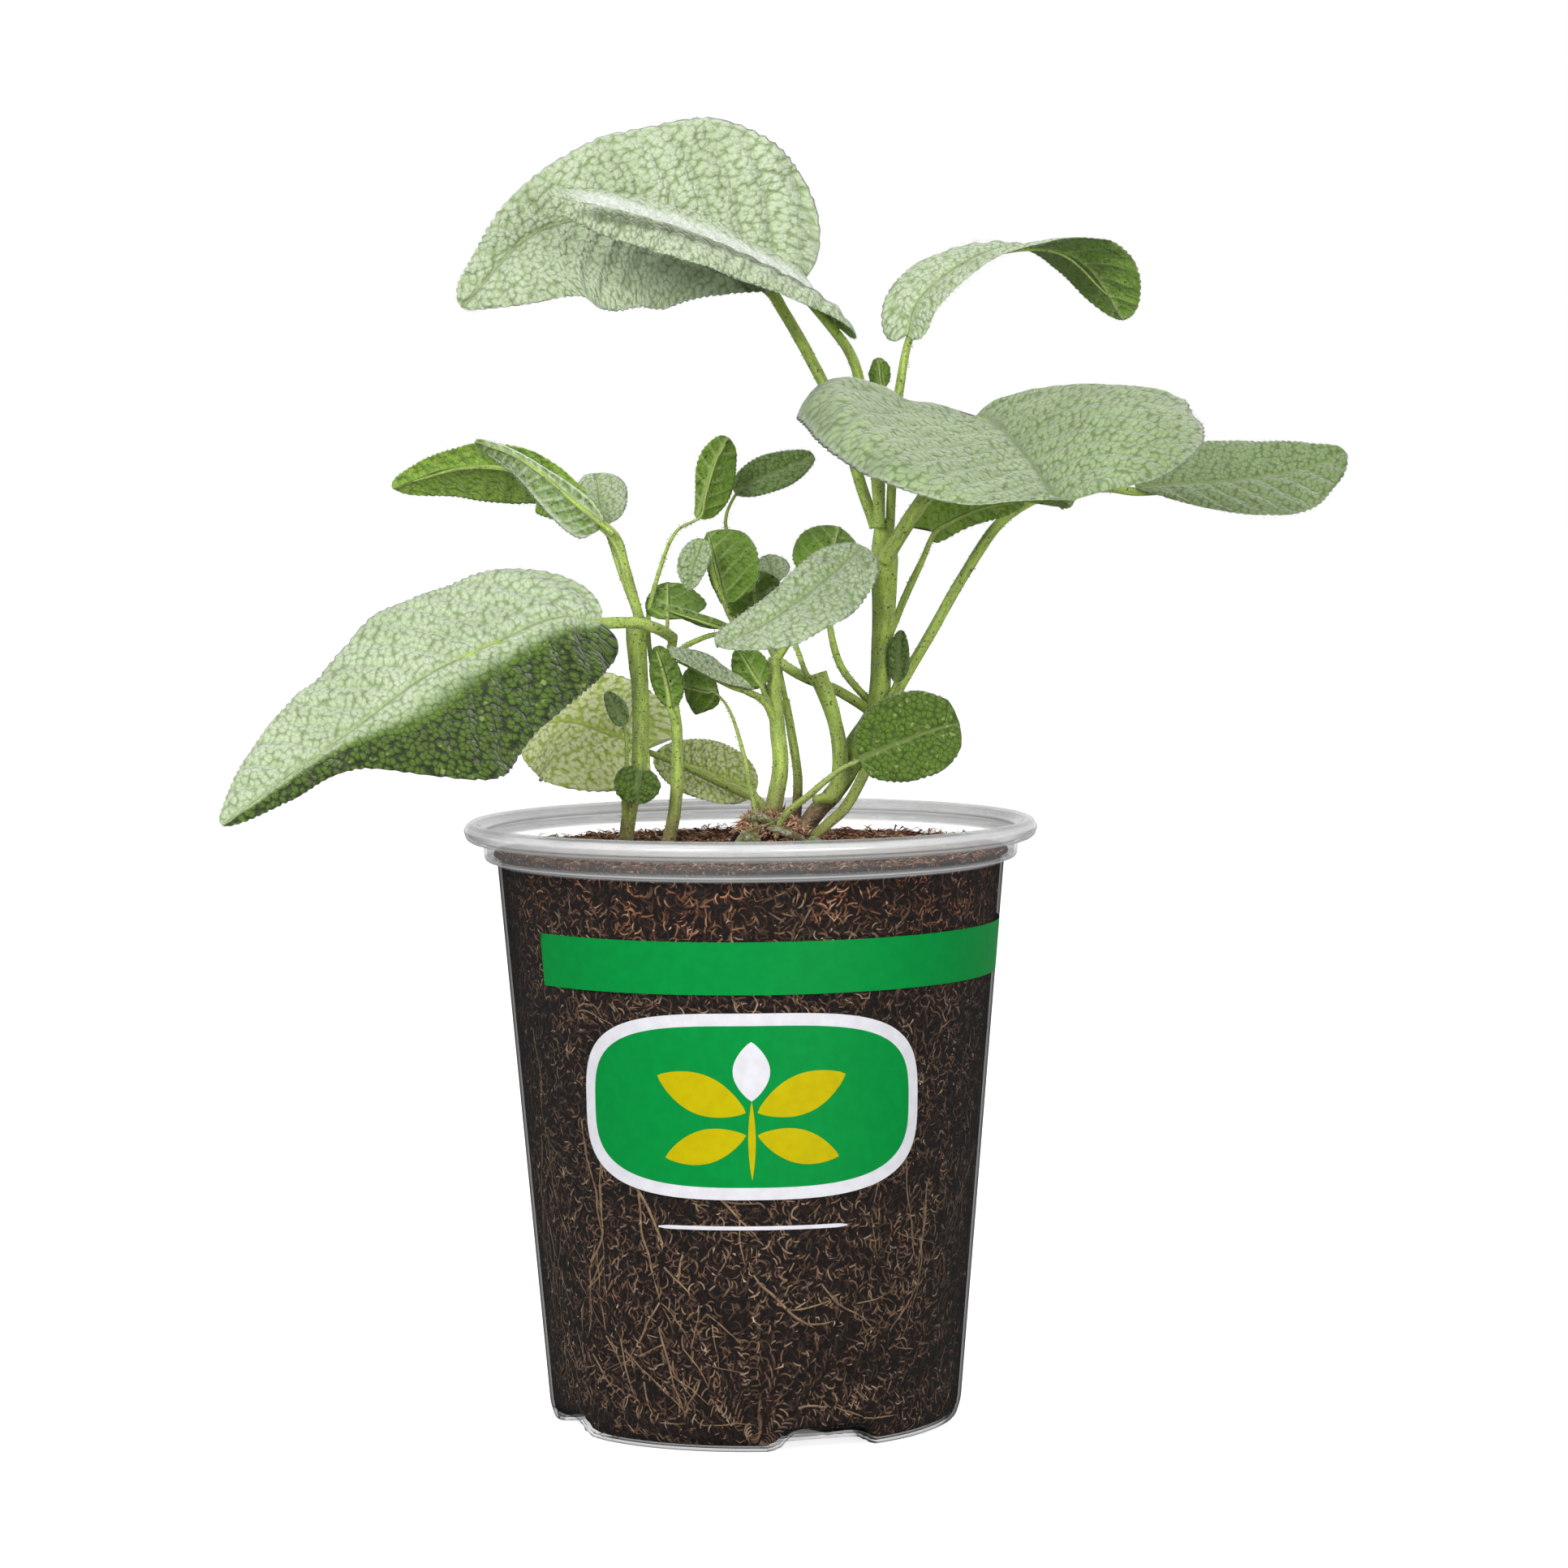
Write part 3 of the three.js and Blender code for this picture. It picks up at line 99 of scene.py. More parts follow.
# Leaves: size picks the grain below, thick is the stalk's radius, and node means a solid of the model.
# down: share of whitish down; under 0 it paints deep shade on a leaf, and over 1 the glow of light shining
# through it.
# bare: what each side loses of it, past 0 into painted shade. felt: painted shade beside the rib, the felt's
# width, and the share where it ends.
# stalk and rib run from their feet, and face is the way that the upper side looks, from base to tip.
# left and right: half widths at stations from base to tip, or half, the widest one, for an even blade.
# lift and lift_tip: degrees that each side rises from the rib, and curl those that it bends towards its edge.
# lobe and swell: how far each side reaches back past the rib's foot, and bulges near it.
LEAVES = {
    "leaf_top_left": dict(
        size="large", thick=1, node=True, down=1.0, felt_and_shade=(1, 3.6, 0.55),
        stalk=[(23, 5, 161), (20.5, 6, 168.5), (17, 8, 180), (11.5, 7, 191.5), (7, 4, 199.5)],
        rib=[(5, 2, 204), (-2.5, 0, 209), (-12.5, -3, 214), (-25, -7, 216.6), (-38, -11, 213.6),
            (-50, -15, 201)],
        face=[(0.25, -0.9, 0.4), (0, -0.9, 0.35), (-0.1, -0.9, 0.3)],
        left=(3, 9, 17, 20.6, 20, 13, 4.5), right=(12, 22, 23.4, 15.8, 8.6, 5, 3.2), lift=(22, 8),
        curl=(-8, -10), lobe=(0, 8)),
    "leaf_edge_on": dict(
        size="middle", thick=0.9, node=True, down=1.0, felt_and_shade=(1, 6),
        stalk=[(23.7, 1.6, 161), (22.8, 3.5, 174), (21, 4.2, 184), (19, 1.5, 191.5)],
        rib=[(16.5, -4, 197), (12, -9, 203), (3, -14, 208.5), (-8, -20, 213.5), (-20.5, -28, 217.5),
            (-33.5, -37, 220)],
        face=[(0.1, -0.2, 1), (0.1, -0.2, 1), (0.1, -0.15, 1)],
        left=(6, 8.5, 9.5, 9.5, 8.5, 6.5, 3.5), right=(4.6, 8.4, 10.6, 11, 9.7, 6.8, 3.7), lift=(16, 14),
        lift_tip=(-34, 12), curl=(-44, 0), lobe=(3, 3)),
    "leaf_arching_right": dict(
        size="middle", thick=0.8, node=True, down=0.95,
        stalk=[(25.6, 4.6, 161), (26.3, 4.4, 174), (27.5, 3.6, 186)],
        rib=[(29, 3, 195.5), (31, 4, 201.5), (37, 8, 207), (45.5, 14, 211), (56.5, 21, 211),
            (63.5, 25, 207), (69.5, 28, 198)],
        face=[(-0.55, -0.8, 0.1), (-0.5, -0.7, 0.5), (-0.2, -0.25, 1), (0.3, 0.5, 0.8), (0.5, 0.6, 0.6)],
        left=(5, 6.5, 6.5, 7, 8, 7.5, 4), right=(4, 5.5, 6, 7.5, 9, 9, 5), lift=(5, 5), lobe=(3, 2)),
    "leaf_broad_front": dict(
        size="large", thick=1.4, node=True, down=0.42,
        stalk=[(24.5, 2, 155), (29, -2, 162.5), (35, -2, 171), (38.5, 0, 177)],
        rib=[(41, -3, 181), (44.5, -20, 179), (48.5, -38, 174), (52, -53, 168.5), (54, -61, 166.4),
            (55, -66.2, 167.4)],
        face=[(0, -0.25, 1), (0, -0.3, 1), (0, 0, 1)],
        left=(13, 24, 31, 33.5, 31.5, 24, 13), right=(20, 32, 34.5, 33.5, 30, 22, 12), lift=(36, 3),
        lift_tip=(50, 10), curl=(-68, -15), lobe=(10, 14), swell=(0, 10.5)),
    "leaf_far_right": dict(
        size="middle", thick=1, node=True, down=0.26,
        stalk=[(3, 3, 92), (5.5, -1, 99.5), (9.5, -2.5, 104.2), (13.6, -3, 107.8), (17.2, -1, 111),
            (20.8, 4, 117), (23, 8, 122), (26.5, 9, 130.5), (33, 11, 141.5), (39.5, 13, 152.5),
            (46.5, 15, 162), (56, 18, 167), (65, 21, 167.5)],
        rib=[(71, 24, 167.5), (83.5, 27, 168), (95.5, 30, 169), (105, 33, 171), (110.5, 35, 173.5)],
        face=[(0, -0.5, 0.85), (0, -0.6, 0.8), (0, -0.7, 0.7)],
        left=(4, 8, 11, 11, 9, 6, 3), right=(2, 6, 10, 13, 12, 7, 3), lift=(4, 4)),
    "leaf_under_broad": dict(
        size="middle", thick=0.7, node=True, down=1.15,
        stalk=[(25.5, 8, 141.5), (28.5, 10, 148.5), (31.5, 13, 154.5)],
        rib=[(33.4, 15, 159.8), (37.5, 14, 162.4), (43, 12, 164.6), (50, 10, 165.6)],
        face=[(-0.1, 0.8, 0.5), (-0.1, 0.8, 0.5)],
        left=(2.4, 3.2, 3.6, 3.8, 3.4, 2.6, 1.6), right=(5, 7, 8, 8, 7, 5, 3), lift=(4, 4), lobe=(2, 4)),
    "leaf_left_big": dict(
        size="large", thick=1, node=True, down=1.0, bare=(1.3, 0.1),
        stalk=[(-13.5, -7, 142), (-16.5, -12, 144), (-20.5, -14, 145)],
        rib=[(-26, -16, 145.5), (-34, -20, 146.5), (-45.5, -27, 142), (-56.5, -34, 137),
            (-67.5, -41, 129), (-79, -48, 121), (-90, -55, 113)],
        face=[(0.05, -0.6, 0.8), (-0.2, -0.65, 0.8), (-0.4, -0.7, 0.6)],
        left=(8, 14, 18, 23, 7, 4, 2), right=(8, 15, 18.5, 17, 13, 9, 3.5), lift=(-18, 8), curl=(-22, -8),
        lobe=(8, 3)),
    "leaf_arching_left": dict(
        size="middle", thick=0.9, node=True, down=1.25,
        stalk=[(-19.5, -6, 145.5), (-22, -6, 154.5), (-23.5, -5, 159.5)],
        rib=[(-25.5, -4, 162.5), (-32, -2, 168), (-39, 1, 172), (-46.5, 7, 172.8), (-55.5, 13, 172),
            (-64.8, 18, 168.6)],
        face=[(0.2, 0.8, 0.5), (0.1, 0.8, 0.6), (-0.15, 0.85, 0.5)],
        left=(1.5, 2.5, 4.2, 5, 4, 2.8, 1.7), right=(5, 7, 9, 10.4, 9, 6, 3), lift=(4, 4)),
    "arching_fold": dict(
        size="small", thick=0.5, down=0.9, felt_and_shade=(0, 20),
        stalk=[(-24, -7.5, 160.5), (-25, -6.5, 161.5)],
        rib=[(-25.8, -6, 162.6), (-31.5, -5, 167.2), (-37.6, -3, 172.4), (-43.3, 1, 175.6),
            (-48.8, 5, 177.2)],
        face=[(0.2, 0.9, 0.3), (0.1, 0.9, 0.4), (-0.1, 0.9, 0.4)],
        left=(1.2, 2.2, 2, 1.2, 0.9, 0.8, 0.6), right=(4.6, 5.6, 5.2, 4.6, 3.8, 2.8, 1.6), lift=(-6, -6)),
    "leaf_round_left": dict(
        size="small", thick=0.5, node=True, down=0.8,
        stalk=[(-20, -1.5, 145.5), (-23, 1, 153.5), (-25, 2, 159.5)],
        rib=[(-26, 3, 162), (-26.5, 6, 165), (-27, 9, 168.5), (-27.5, 12, 171)],
        face=[(0.1, -0.9, 0.45), (0.1, -0.8, 0.6)],
        left=(2, 3, 3.5, 4, 4, 3, 2), right=(2, 3.5, 4.5, 5, 5, 4, 2.5)),
    "leaf_behind_left": dict(
        size="middle", thick=0.8, node=True, down=1.3,
        stalk=[(4, 12, 101), (2, 11, 110.5), (-3.5, 13, 113.5), (-11, 15, 117)],
        rib=[(-18.5, 17, 120.5), (-26.5, 19, 123.5), (-33.5, 22, 125.5), (-42, 25, 124.5)],
        face=[(0, -0.75, 0.66), (0, -0.75, 0.66)],
        left=(8, 12, 15, 16, 15, 11.5, 7), right=(7, 10, 11.5, 12, 11, 8.5, 5), lift=(4, 4), lobe=(4, 5)),
    "leaf_behind_right": dict(
        size="small", thick=0.6, node=True, down=1.25,
        stalk=[(2, 18, 101), (1.5, 18, 108)],
        rib=[(1, 19, 112.5), (-5, 20, 115), (-11, 23, 117), (-17.5, 27, 119)],
        face=[(0, -0.85, 0.5), (0, -0.85, 0.5)],
        half=6.2),
    "leaf_low_dark": dict(
        size="middle", thick=0.6, node=True, down=0.0,
        stalk=[(4, -8, 101), (5.5, -8, 109), (11, -8, 114), (16, -8, 118)],
        rib=[(19.5, -8, 120), (25.5, -9, 122.5), (32, -10, 125), (37.5, -10, 126.5)],
        face=[(0.2, -0.85, 0.4), (0.2, -0.9, 0.3)],
        left=(4, 6.5, 8, 8.3, 7.8, 6, 4), right=(3.5, 5.5, 7, 7.8, 8, 6.5, 4)),
    "leaf_low_mid": dict(
        size="small", thick=0.45, node=True, down=0.1,
        stalk=[(1.5, -8, 101), (1, -7, 109.5), (0, -6, 115.5), (-1.5, -5, 122.5), (-3.5, -3, 128.5)],
        rib=[(-5.5, -1, 132), (-7.5, 0, 132), (-10, 1, 132.5), (-12, 3, 133)],
        face=[(0, 0.9, 0.3), (0, 0.9, 0.3)],
        left=(2, 3, 4, 4, 4, 3, 2), right=(2, 3, 4, 5, 5.2, 4.8, 3)),
    "leaf_pale_front": dict(
        size="middle", thick=0.8, node=True, down=0.8,
        stalk=[(4.5, -2, 137), (9, 0, 143.5), (15, 0, 151), (18, -2, 154)],
        rib=[(20.5, -5, 158), (15.5, -10, 154), (9, -15, 149), (2, -20, 144.5), (-5.5, -26, 141.5)],
        face=[(-0.25, -0.8, 0.5), (-0.25, -0.8, 0.5)],
        left=(4, 7.5, 9.5, 9.5, 8, 5, 2.5), right=(3, 5, 5.5, 5, 4.5, 3.5, 2)),
    "upright": dict(
        size="small", thick=0.45, down=0.1,
        stalk=[(-14, -6, 129.5), (-17, -4, 135.5), (-18, -2, 145), (-16, 0, 153.5), (-13, 0, 160.5)],
        rib=[(-9, 0, 163), (-7.5, 0, 168), (-6, 1, 173), (-3.5, 3, 177.5)],
        face=[(-0.3, 0.9, 0.2), (-0.3, 0.9, 0.2)],
        left=(2.5, 4, 5, 5.2, 5, 4, 2.5), right=(0.8, 1.2, 2, 2.8, 3, 2.3, 1.4)),
    "pointing_right": dict(
        size="small", thick=0.5, down=0.1,
        stalk=[(6.5, 6.5, 130), (4.5, 9, 139), (0.5, 12.5, 151.5), (-4, 10, 161)],
        rib=[(-2.5, 9, 167.5), (1.5, 10, 169.5), (6.5, 12, 171.5), (12, 14, 174)],
        face=[(0, -0.7, 0.6), (0, -0.8, 0.5)],
        half=4.1),
    "green_right": dict(
        size="small", thick=0.6, down=0.1,
        stalk=[(3.5, -2.5, 130.5), (0.5, 0, 138.5), (-3, 0, 144.5)],
        rib=[(-4, 0, 147.5), (-5, 0, 152), (-6, 1, 156), (-7, 3, 160.5)],
        face=[(0.3, 0.9, 0.1), (0.3, 0.9, 0.1)],
        left=(3, 6, 7.5, 8, 7.5, 6, 3), right=(1, 1.5, 2, 2, 2, 2, 1)),
    "pale_left": dict(
        size="small", thick=0.5, down=0.7,
        stalk=[(-3.5, -0.5, 146), (-6, -2.5, 152), (-7, -3.5, 157)],
        rib=[(-8, -4, 159.5), (-9, -5, 157), (-10, -6, 154.5), (-10.5, -6, 150.5)],
        face=[(-0.1, -0.95, 0.2), (-0.1, -0.95, 0.2)],
        half=2.8),
    "mid_dark": dict(
        size="small", thick=0.9, down=0.1,
        stalk=[(21.5, 6, 128), (16, 5.5, 131.5), (10, 5, 134), (5.5, 4.5, 137), (3.5, 4.5, 140.5)],
        rib=[(2.5, 5, 144), (1.5, 6, 147), (1, 8, 150.5), (0.5, 10, 153)],
        face=[(0, 0.9, 0.3), (0, 0.9, 0.3)],
        half=5.4),
    "small_pale": dict(
        size="small", thick=0.5, down=0.7,
        stalk=[(13.5, 0.5, 131), (10.5, 4, 134.5), (8.5, 9, 139.5), (6, 14, 147)],
        rib=[(5, 16, 151), (4.5, 18, 152.5), (4, 20, 154), (3, 22, 155.5)],
        face=[(0, -0.7, 0.7), (0, -0.7, 0.7)],
        half=3.2),
    "dark_arc": dict(
        size="small", thick=0.7, down=0.1,
        stalk=[(22, 7, 129), (17, 9, 135), (15, 12, 141), (14.5, 15, 147)],
        rib=[(14.5, 16, 150), (15, 17, 153.5), (15.5, 19, 157), (16.5, 22, 160.5)],
        face=[(0, 0.9, 0.3), (0, 0.9, 0.3)],
        half=7.2),
    "axil": dict(
        size="small", thick=0.5, down=0.1,
        stalk=[(24, 6, 129), (25.5, 4, 131)],
        rib=[(26.5, 4, 133), (27, 4, 136), (27, 4, 138.5), (27.5, 4, 142.5)],
        face=[(0.1, -0.9, 0.2), (0.1, -0.9, 0.2)],
        half=2),
    "bud": dict(
        size="small", thick=0.5, down=0.2,
        stalk=[(24.2, 5.6, 160), (24.3, 7, 168.5), (24.5, 7.5, 177), (24.5, 7, 184.5)],
        rib=[(24.5, 7, 186), (24, 7, 188), (24, 7, 189.5), (23.5, 7, 191.5)],
        face=[(0, 0.9, 0.2), (0, 0.9, 0.2)],
        half=2),
    "small_edge": dict(
        size="small", thick=0.5, down=0.3,
        stalk=[(-13.5, -6, 139), (-10.5, -10, 141), (-7, -12, 142.5)],
        rib=[(-3, -13, 144), (-7, -15, 145.5), (-11.5, -16, 147), (-16, -17, 148.5)],
        face=[(0.1, 0.5, 1), (0.1, 0.5, 1)],
        left=(0.6, 0.8, 1, 1, 1, 0.8, 0.6), right=(2, 3.6, 4.4, 4, 3, 2, 1)),
    "dark_left": dict(
        size="small", thick=0.5, down=0.1,
        stalk=[(-13.5, -6, 140), (-14.5, -4, 142.5)],
        rib=[(-14.5, -3, 145), (-14.5, -2, 147), (-14.5, 0, 149), (-14.5, 2, 151.5)],
        face=[(0, 0.9, 0.3), (0, 0.9, 0.3)],
        left=(3, 5, 6.5, 7, 6, 4.5, 3), right=(2, 3.5, 4, 4, 3.5, 2.5, 1.5)),
    "clasping": dict(
        size="small", thick=0.6, down=0.1,
        stalk=[(-13, -6, 125.5), (-13.5, -7, 127.5)],
        rib=[(-14, -7, 129.5), (-14.5, -8, 133.5), (-15.5, -8, 137.5), (-16.5, -7, 140.5)],
        face=[(0.2, 0.9, 0.2), (0.2, 0.9, 0.2)],
        half=3),
    "grey_tongue": dict(
        size="small", thick=0.8, down=0.8,
        stalk=[(5, -3, 125), (3, -5, 130)],
        rib=[(0.5, -7, 133), (-3.5, -11, 134.5), (-8.5, -15, 137), (-13.5, -20, 139.5)],
        face=[(-0.1, -0.6, 0.75), (-0.1, -0.6, 0.75)],
        left=(1, 1.5, 1.8, 2, 2, 1.6, 1), right=(2.5, 4.5, 5.5, 5.5, 5, 3.8, 2)),
    "dark_mid": dict(
        size="small", thick=0.6, down=0.1,
        stalk=[(4.5, -3, 129), (3, -4, 131)],
        rib=[(2.5, -4.5, 133), (1, -4.5, 135), (-0.5, -4.5, 137.5), (-2, -4.5, 140)],
        face=[(0, 0.9, 0.3), (0, 0.9, 0.3)],
        half=3.4),
    "heart": dict(
        size="small", thick=0.5, down=-0.1,
        stalk=[(-20, -5, 116.5), (-19.5, -8, 119)],
        rib=[(-19.5, -10.5, 118.5), (-20, -11, 116.5), (-20, -11.5, 115), (-20, -11, 112.5)],
        face=[(0, -0.9, 0.3), (0, -0.9, 0.3)],
        half=4.2, lobe=(1, 1)),
    "pointed": dict(
        size="small", thick=0.5, down=0.2,
        stalk=[(-22, -4.5, 106), (-22.5, -7, 112), (-22, -8, 118), (-22, -8, 124)],
        rib=[(-22, -8, 126.5), (-23, -8.5, 128), (-24, -9, 130), (-25.5, -9, 132.5)],
        face=[(0.3, -0.85, 0.3), (0.3, -0.85, 0.3)],
        half=2),
}

# Surface detail by leaf size: grid step, pebble size, rise of the lumps, gap between side veins, rise of the
# quilting between them, depth of the edge's teeth and rise of its waves
GRAIN = {
    "large": dict(step=0.6, cell=1.12, rise=0.28, veins=6.0, quilt=0.75, tooth=0.5, wave=2.4),
    "middle": dict(step=0.5, cell=1.0, rise=0.22, veins=4.6, quilt=0.4, tooth=0.42, wave=1.5),
    "small": dict(step=0.36, cell=0.75, rise=0.14, veins=2.8, quilt=0.18, tooth=0.3, wave=0.7),
}
EVEN_BLADE = (0.42, 0.76, 0.96, 1, 0.88, 0.62, 0.34)


# Sums shared by the pieces
LINE_STEPS = 401


def hashed(i, j, seed):
    """A random-looking number from 0 to 1 for each pair of whole numbers."""
    value = np.sin(i * 127.1 + j * 311.7 + seed * 74.7) * 43758.5453
    return value - np.floor(value)


def value_noise(a, b, seed):
    """Smooth noise from 0 to 1, one bump to a unit."""
    i, j = np.floor(a), np.floor(b)
    f, g = a - i, b - j
    f, g = f * f * (3 - 2 * f), g * g * (3 - 2 * g)
    low = hashed(i, j, seed) * (1 - f) + hashed(i + 1, j, seed) * f
    high = hashed(i, j + 1, seed) * (1 - f) + hashed(i + 1, j + 1, seed) * f
    return low * (1 - g) + high * g


def unit(v):
    return v / np.maximum(np.linalg.norm(v, axis=-1, keepdims=True), 1e-9)


def run_along(points):
    """How far along a line of points each of them lies."""
    return np.concatenate([[0], np.cumsum(np.linalg.norm(np.diff(points, axis=0), axis=1))])


def curve(a, b, c, d, f):
    """A smooth step from b to c, a share f of the way, that heeds their neighbours a and d."""
    return 0.5 * (2 * b + (c - a) * f + (2 * a - 5 * b + 4 * c - d) * f**2 + (3 * b - a - 3 * c + d) * f**3)


def listed(values, u):
    """A value read along evenly spaced ones."""
    return np.interp(u, np.linspace(0, 1, len(values)), values)


def half_width(values, u):
    """Half width along a blade, from measures at stations that crowd towards its two ends."""
    w = np.array([-values[0], 0, *values, 0, -values[-1]], float)
    spans = len(values) + 1
    x = np.clip(np.arccos(1 - 2 * np.clip(u, 0, 1)) / math.pi * spans, 0, spans - 1e-9)
    i = x.astype(int)
    return np.maximum(curve(w[i], w[i + 1], w[i + 2], w[i + 3], x - i), 0)


class Line:
    """A smooth line through points, asked for by share of its length."""

    def __init__(self, points):
        p = np.asarray(points, float)
        self.points = np.vstack([2 * p[0] - p[1], p, 2 * p[-1] - p[-2]])
        self.spans = len(p) - 1
        self.knots = np.linspace(0, 1, LINE_STEPS)
        self.run = run_along(self.at_knot(self.knots))
        self.length = self.run[-1]

    def at_knot(self, t):
        t = np.clip(t * self.spans, 0, self.spans - 1e-9)
        i = t.astype(int)
        return curve(*(self.points[i + k] for k in range(4)), (t - i)[:, None])

    def at(self, u):
        return self.at_knot(np.interp(np.clip(u, 0, 1) * self.length, self.run, self.knots))

    def along(self, u):
        return unit(self.at(np.clip(u + 1e-3, 0, 1)) - self.at(np.clip(u - 1e-3, 0, 1)))


# A leaf's skin: how side veins slant from the rib, bow and wander, and their grooves' half width and depth
VEIN_SLANT, VEIN_BOW, VEIN_WANDER = 0.62, 0.006, 1.6
GROOVE_HALF, GROOVE_DEPTH = 0.4, 0.2
# Half width of the rib's groove at the tip, what it gains towards the stalk, and its depth
RIB_HALF, RIB_GAIN, RIB_DEPTH = 0.45, 0.6, 0.32
# Teeth and pebbles: a tooth's pitch in pebbles, how far teeth cut in, how far apart the pebbles' rows lie and
# how they bow, and how places across the rows grow along the rib and away from it
TOOTH_PITCH, TOOTH_CUT, ROW_GAP, ROW_BOW = 1.15, 0.6, 1.18, 0.012
ACROSS_ALONG, ACROSS_ASIDE = 0.62, 1.38
# Thickness between the two skins, how far the raised rib lies under the sheet, and its stations
SKIN_THICKNESS = 0.42
RIB_UNDER = 0.62
RIB_STATIONS = (0.02, 0.22, 0.45, 0.68, 0.9)


class Blade:
    """One leaf's bent middle sheet."""

    def __init__(self, name):
        spec = LEAVES[name]
        self.spec = spec
        self.grain = GRAIN[spec["size"]]
        self.rib = Line(spec["rib"])
        even = [w * spec.get("half", 0) for w in EVEN_BLADE]
        self.widths = [spec.get(side) or even for side in ("left", "right")]
        self.widest = [max(w) for w in self.widths]
        lift = spec.get("lift", (5, 5))
        self.lift = np.radians(lift)
        self.lift_tip = np.radians(spec.get("lift_tip", lift))
        self.curl = np.radians(spec.get("curl", (0, 0)))
        self.lobe = np.array(spec.get("lobe", (0, 0)))
        self.swell = np.array(spec.get("swell", (0, 0)))
        self.seed = sum(ord(c) for c in name) % 97

    def frame(self, u):
        """At each place along the rib: its own way, the way the upper face looks, and the way right."""
        faces = unit(np.array(self.spec["face"], float))
        along = self.rib.along(u)
        up = np.stack([listed(faces[:, k], u) for k in range(3)], -1)
        up = unit(up - np.sum(up * along, -1, keepdims=True) * along)
        return along, up, np.cross(along, up)

    def width(self, u, v):
        return np.where(v < 0, half_width(self.widths[0], u), half_width(self.widths[1], u))

    def sheet(self, u, v):
        """Points of the sheet: u runs along the rib, v from the left edge at -1 to the right one at 1."""
        along, up, side = self.frame(u)
        k = (v >= 0).astype(int)
        s = np.abs(v)
        plain = self.width(u, v)
        widest = np.array(self.widest)[k]
        pitch = self.grain["cell"] * TOOTH_PITCH
        teeth = np.abs(np.cos(math.pi * u * self.rib.length / pitch)) - TOOTH_CUT
        w = plain + self.grain["tooth"] * teeth * s**3 * (1 - np.exp(-plain / 2))
        lift = self.lift[k] + (self.lift_tip[k] - self.lift[k]) * u
        curl = self.curl[k]
        curled = np.abs(curl) > 1e-3
        bent = np.where(curled, curl, 1)
        out = np.where(curled, (np.sin(lift + curl * s) - np.sin(lift)) / bent, s * np.cos(lift))
        rise = np.where(curled, (np.cos(lift) - np.cos(lift + curl * s)) / bent, s * np.sin(lift))
        swell = self.swell[k] * np.minimum(1, 1.15 * plain / widest) ** 1.5 * (1 - u)
        rise = w * rise + swell * np.sin(0.85 * math.pi * s**3)
        back = self.lobe[k] * s**2 * (1 - u) ** 3 * (1 - np.exp(-4 * plain / widest))
        sign = np.where(v < 0, -1.0, 1.0)
        return self.rib.at(u) + (sign * w * out)[:, None] * side + rise[:, None] * up - back[:, None] * along

    def normals(self, u, v):
        """The way the sheet's upper face looks, found from its slope both ways."""
        e = 0.01
        du = self.sheet(np.clip(u + e, 0, 1), v) - self.sheet(np.clip(u - e, 0, 1), v)
        dv = self.sheet(u, np.clip(v + e, -1, 1)) - self.sheet(u, np.clip(v - e, -1, 1))
        up = self.frame(u)[1]
        n = np.cross(dv, du)
        n = np.where(np.linalg.norm(n, axis=-1, keepdims=True) < 1e-4, up, unit(n))
        return n * np.where(np.sum(n * up, -1, keepdims=True) < 0, -1.0, 1.0)

    def relief(self, u, v):
        """Height of the quilted skin, its veins' mask, and places along and across the rows, in pebbles."""
        g = self.grain
        s = u * self.rib.length
        t = np.abs(v) * self.width(u, v)
        left = (v < 0) * 1.0
        wander = VEIN_WANDER * (value_noise(s / 9, t / 9 + left * 50, self.seed) - 0.5)
        q = s - VEIN_SLANT * t - VEIN_BOW * t * t + wander
        phase = q / g["veins"] + left * 0.5
        off = np.abs(phase - np.round(phase)) * g["veins"] * 0.85
        groove = np.exp(-((off / GROOVE_HALF) ** 2)) * np.exp(-t / (1.6 * max(self.widest)))
        spine = np.exp(-((t / (RIB_HALF + RIB_GAIN * (1 - u))) ** 2))
        edge = 1 - np.abs(v) ** 8
        away = np.minimum(1, t / 4)
        fold = 0.5 - 0.5 * np.cos(2 * math.pi * phase)
        uneven = 0.5 + value_noise(q / 7, t / 7 + left * 30, self.seed + 2)
        lumps = value_noise(q / 1.5, t / 1.7 + left * 40, self.seed + 4) - 0.5
        quilted = g["quilt"] * fold * away * uneven + g["rise"] * lumps
        rise = quilted - GROOVE_DEPTH * groove - RIB_DEPTH * spine
        row, reach = (q + ROW_BOW * t * t) / ROW_GAP, (ACROSS_ALONG * q + ACROSS_ASIDE * t) / ROW_GAP
        return rise * edge, np.maximum(groove, spine), row / g["cell"], reach / g["cell"] + left * 40

    def ripple(self, u, v):
        """How far the margin waves up and down."""
        wave = value_noise(u * self.rib.length / 7, 3 * np.sign(v), self.seed + 6) - 0.5
        return self.grain["wave"] * wave * np.abs(v) ** 3 * np.sin(math.pi * u)

    def down_and_painted_light(self, v):
        """How much down covers the skin, less where a side is bare beyond the rib; under 0 it paints shade
        and over 1 a glow.
        """
        bare = np.where(v < 0, *self.spec.get("bare", (0, 0))) * np.clip(np.abs(v) * 3.2 - 0.25, 0, 1)
        return self.spec["down"] * (1 - bare)

    def felt_and_shade(self, u, v):
        """Thick felt along the rib, above 0, and on some leaves a painted shade beside it on the left, under
        0.
        """
        shade, width, end = (*self.spec.get("felt_and_shade", (0, 0)), 1.0)[:3]
        if not width:
            return np.zeros(len(u))
        aside = np.abs(v) * self.width(u, v)
        felt_and_shade = np.exp(-((aside / width) ** 2))
        if shade:
            felt_and_shade = np.where(v < 0, -np.exp(-(((aside - 3) / 2) ** 2)), felt_and_shade)
        return felt_and_shade * np.clip(6 * (end - u), 0, 1)

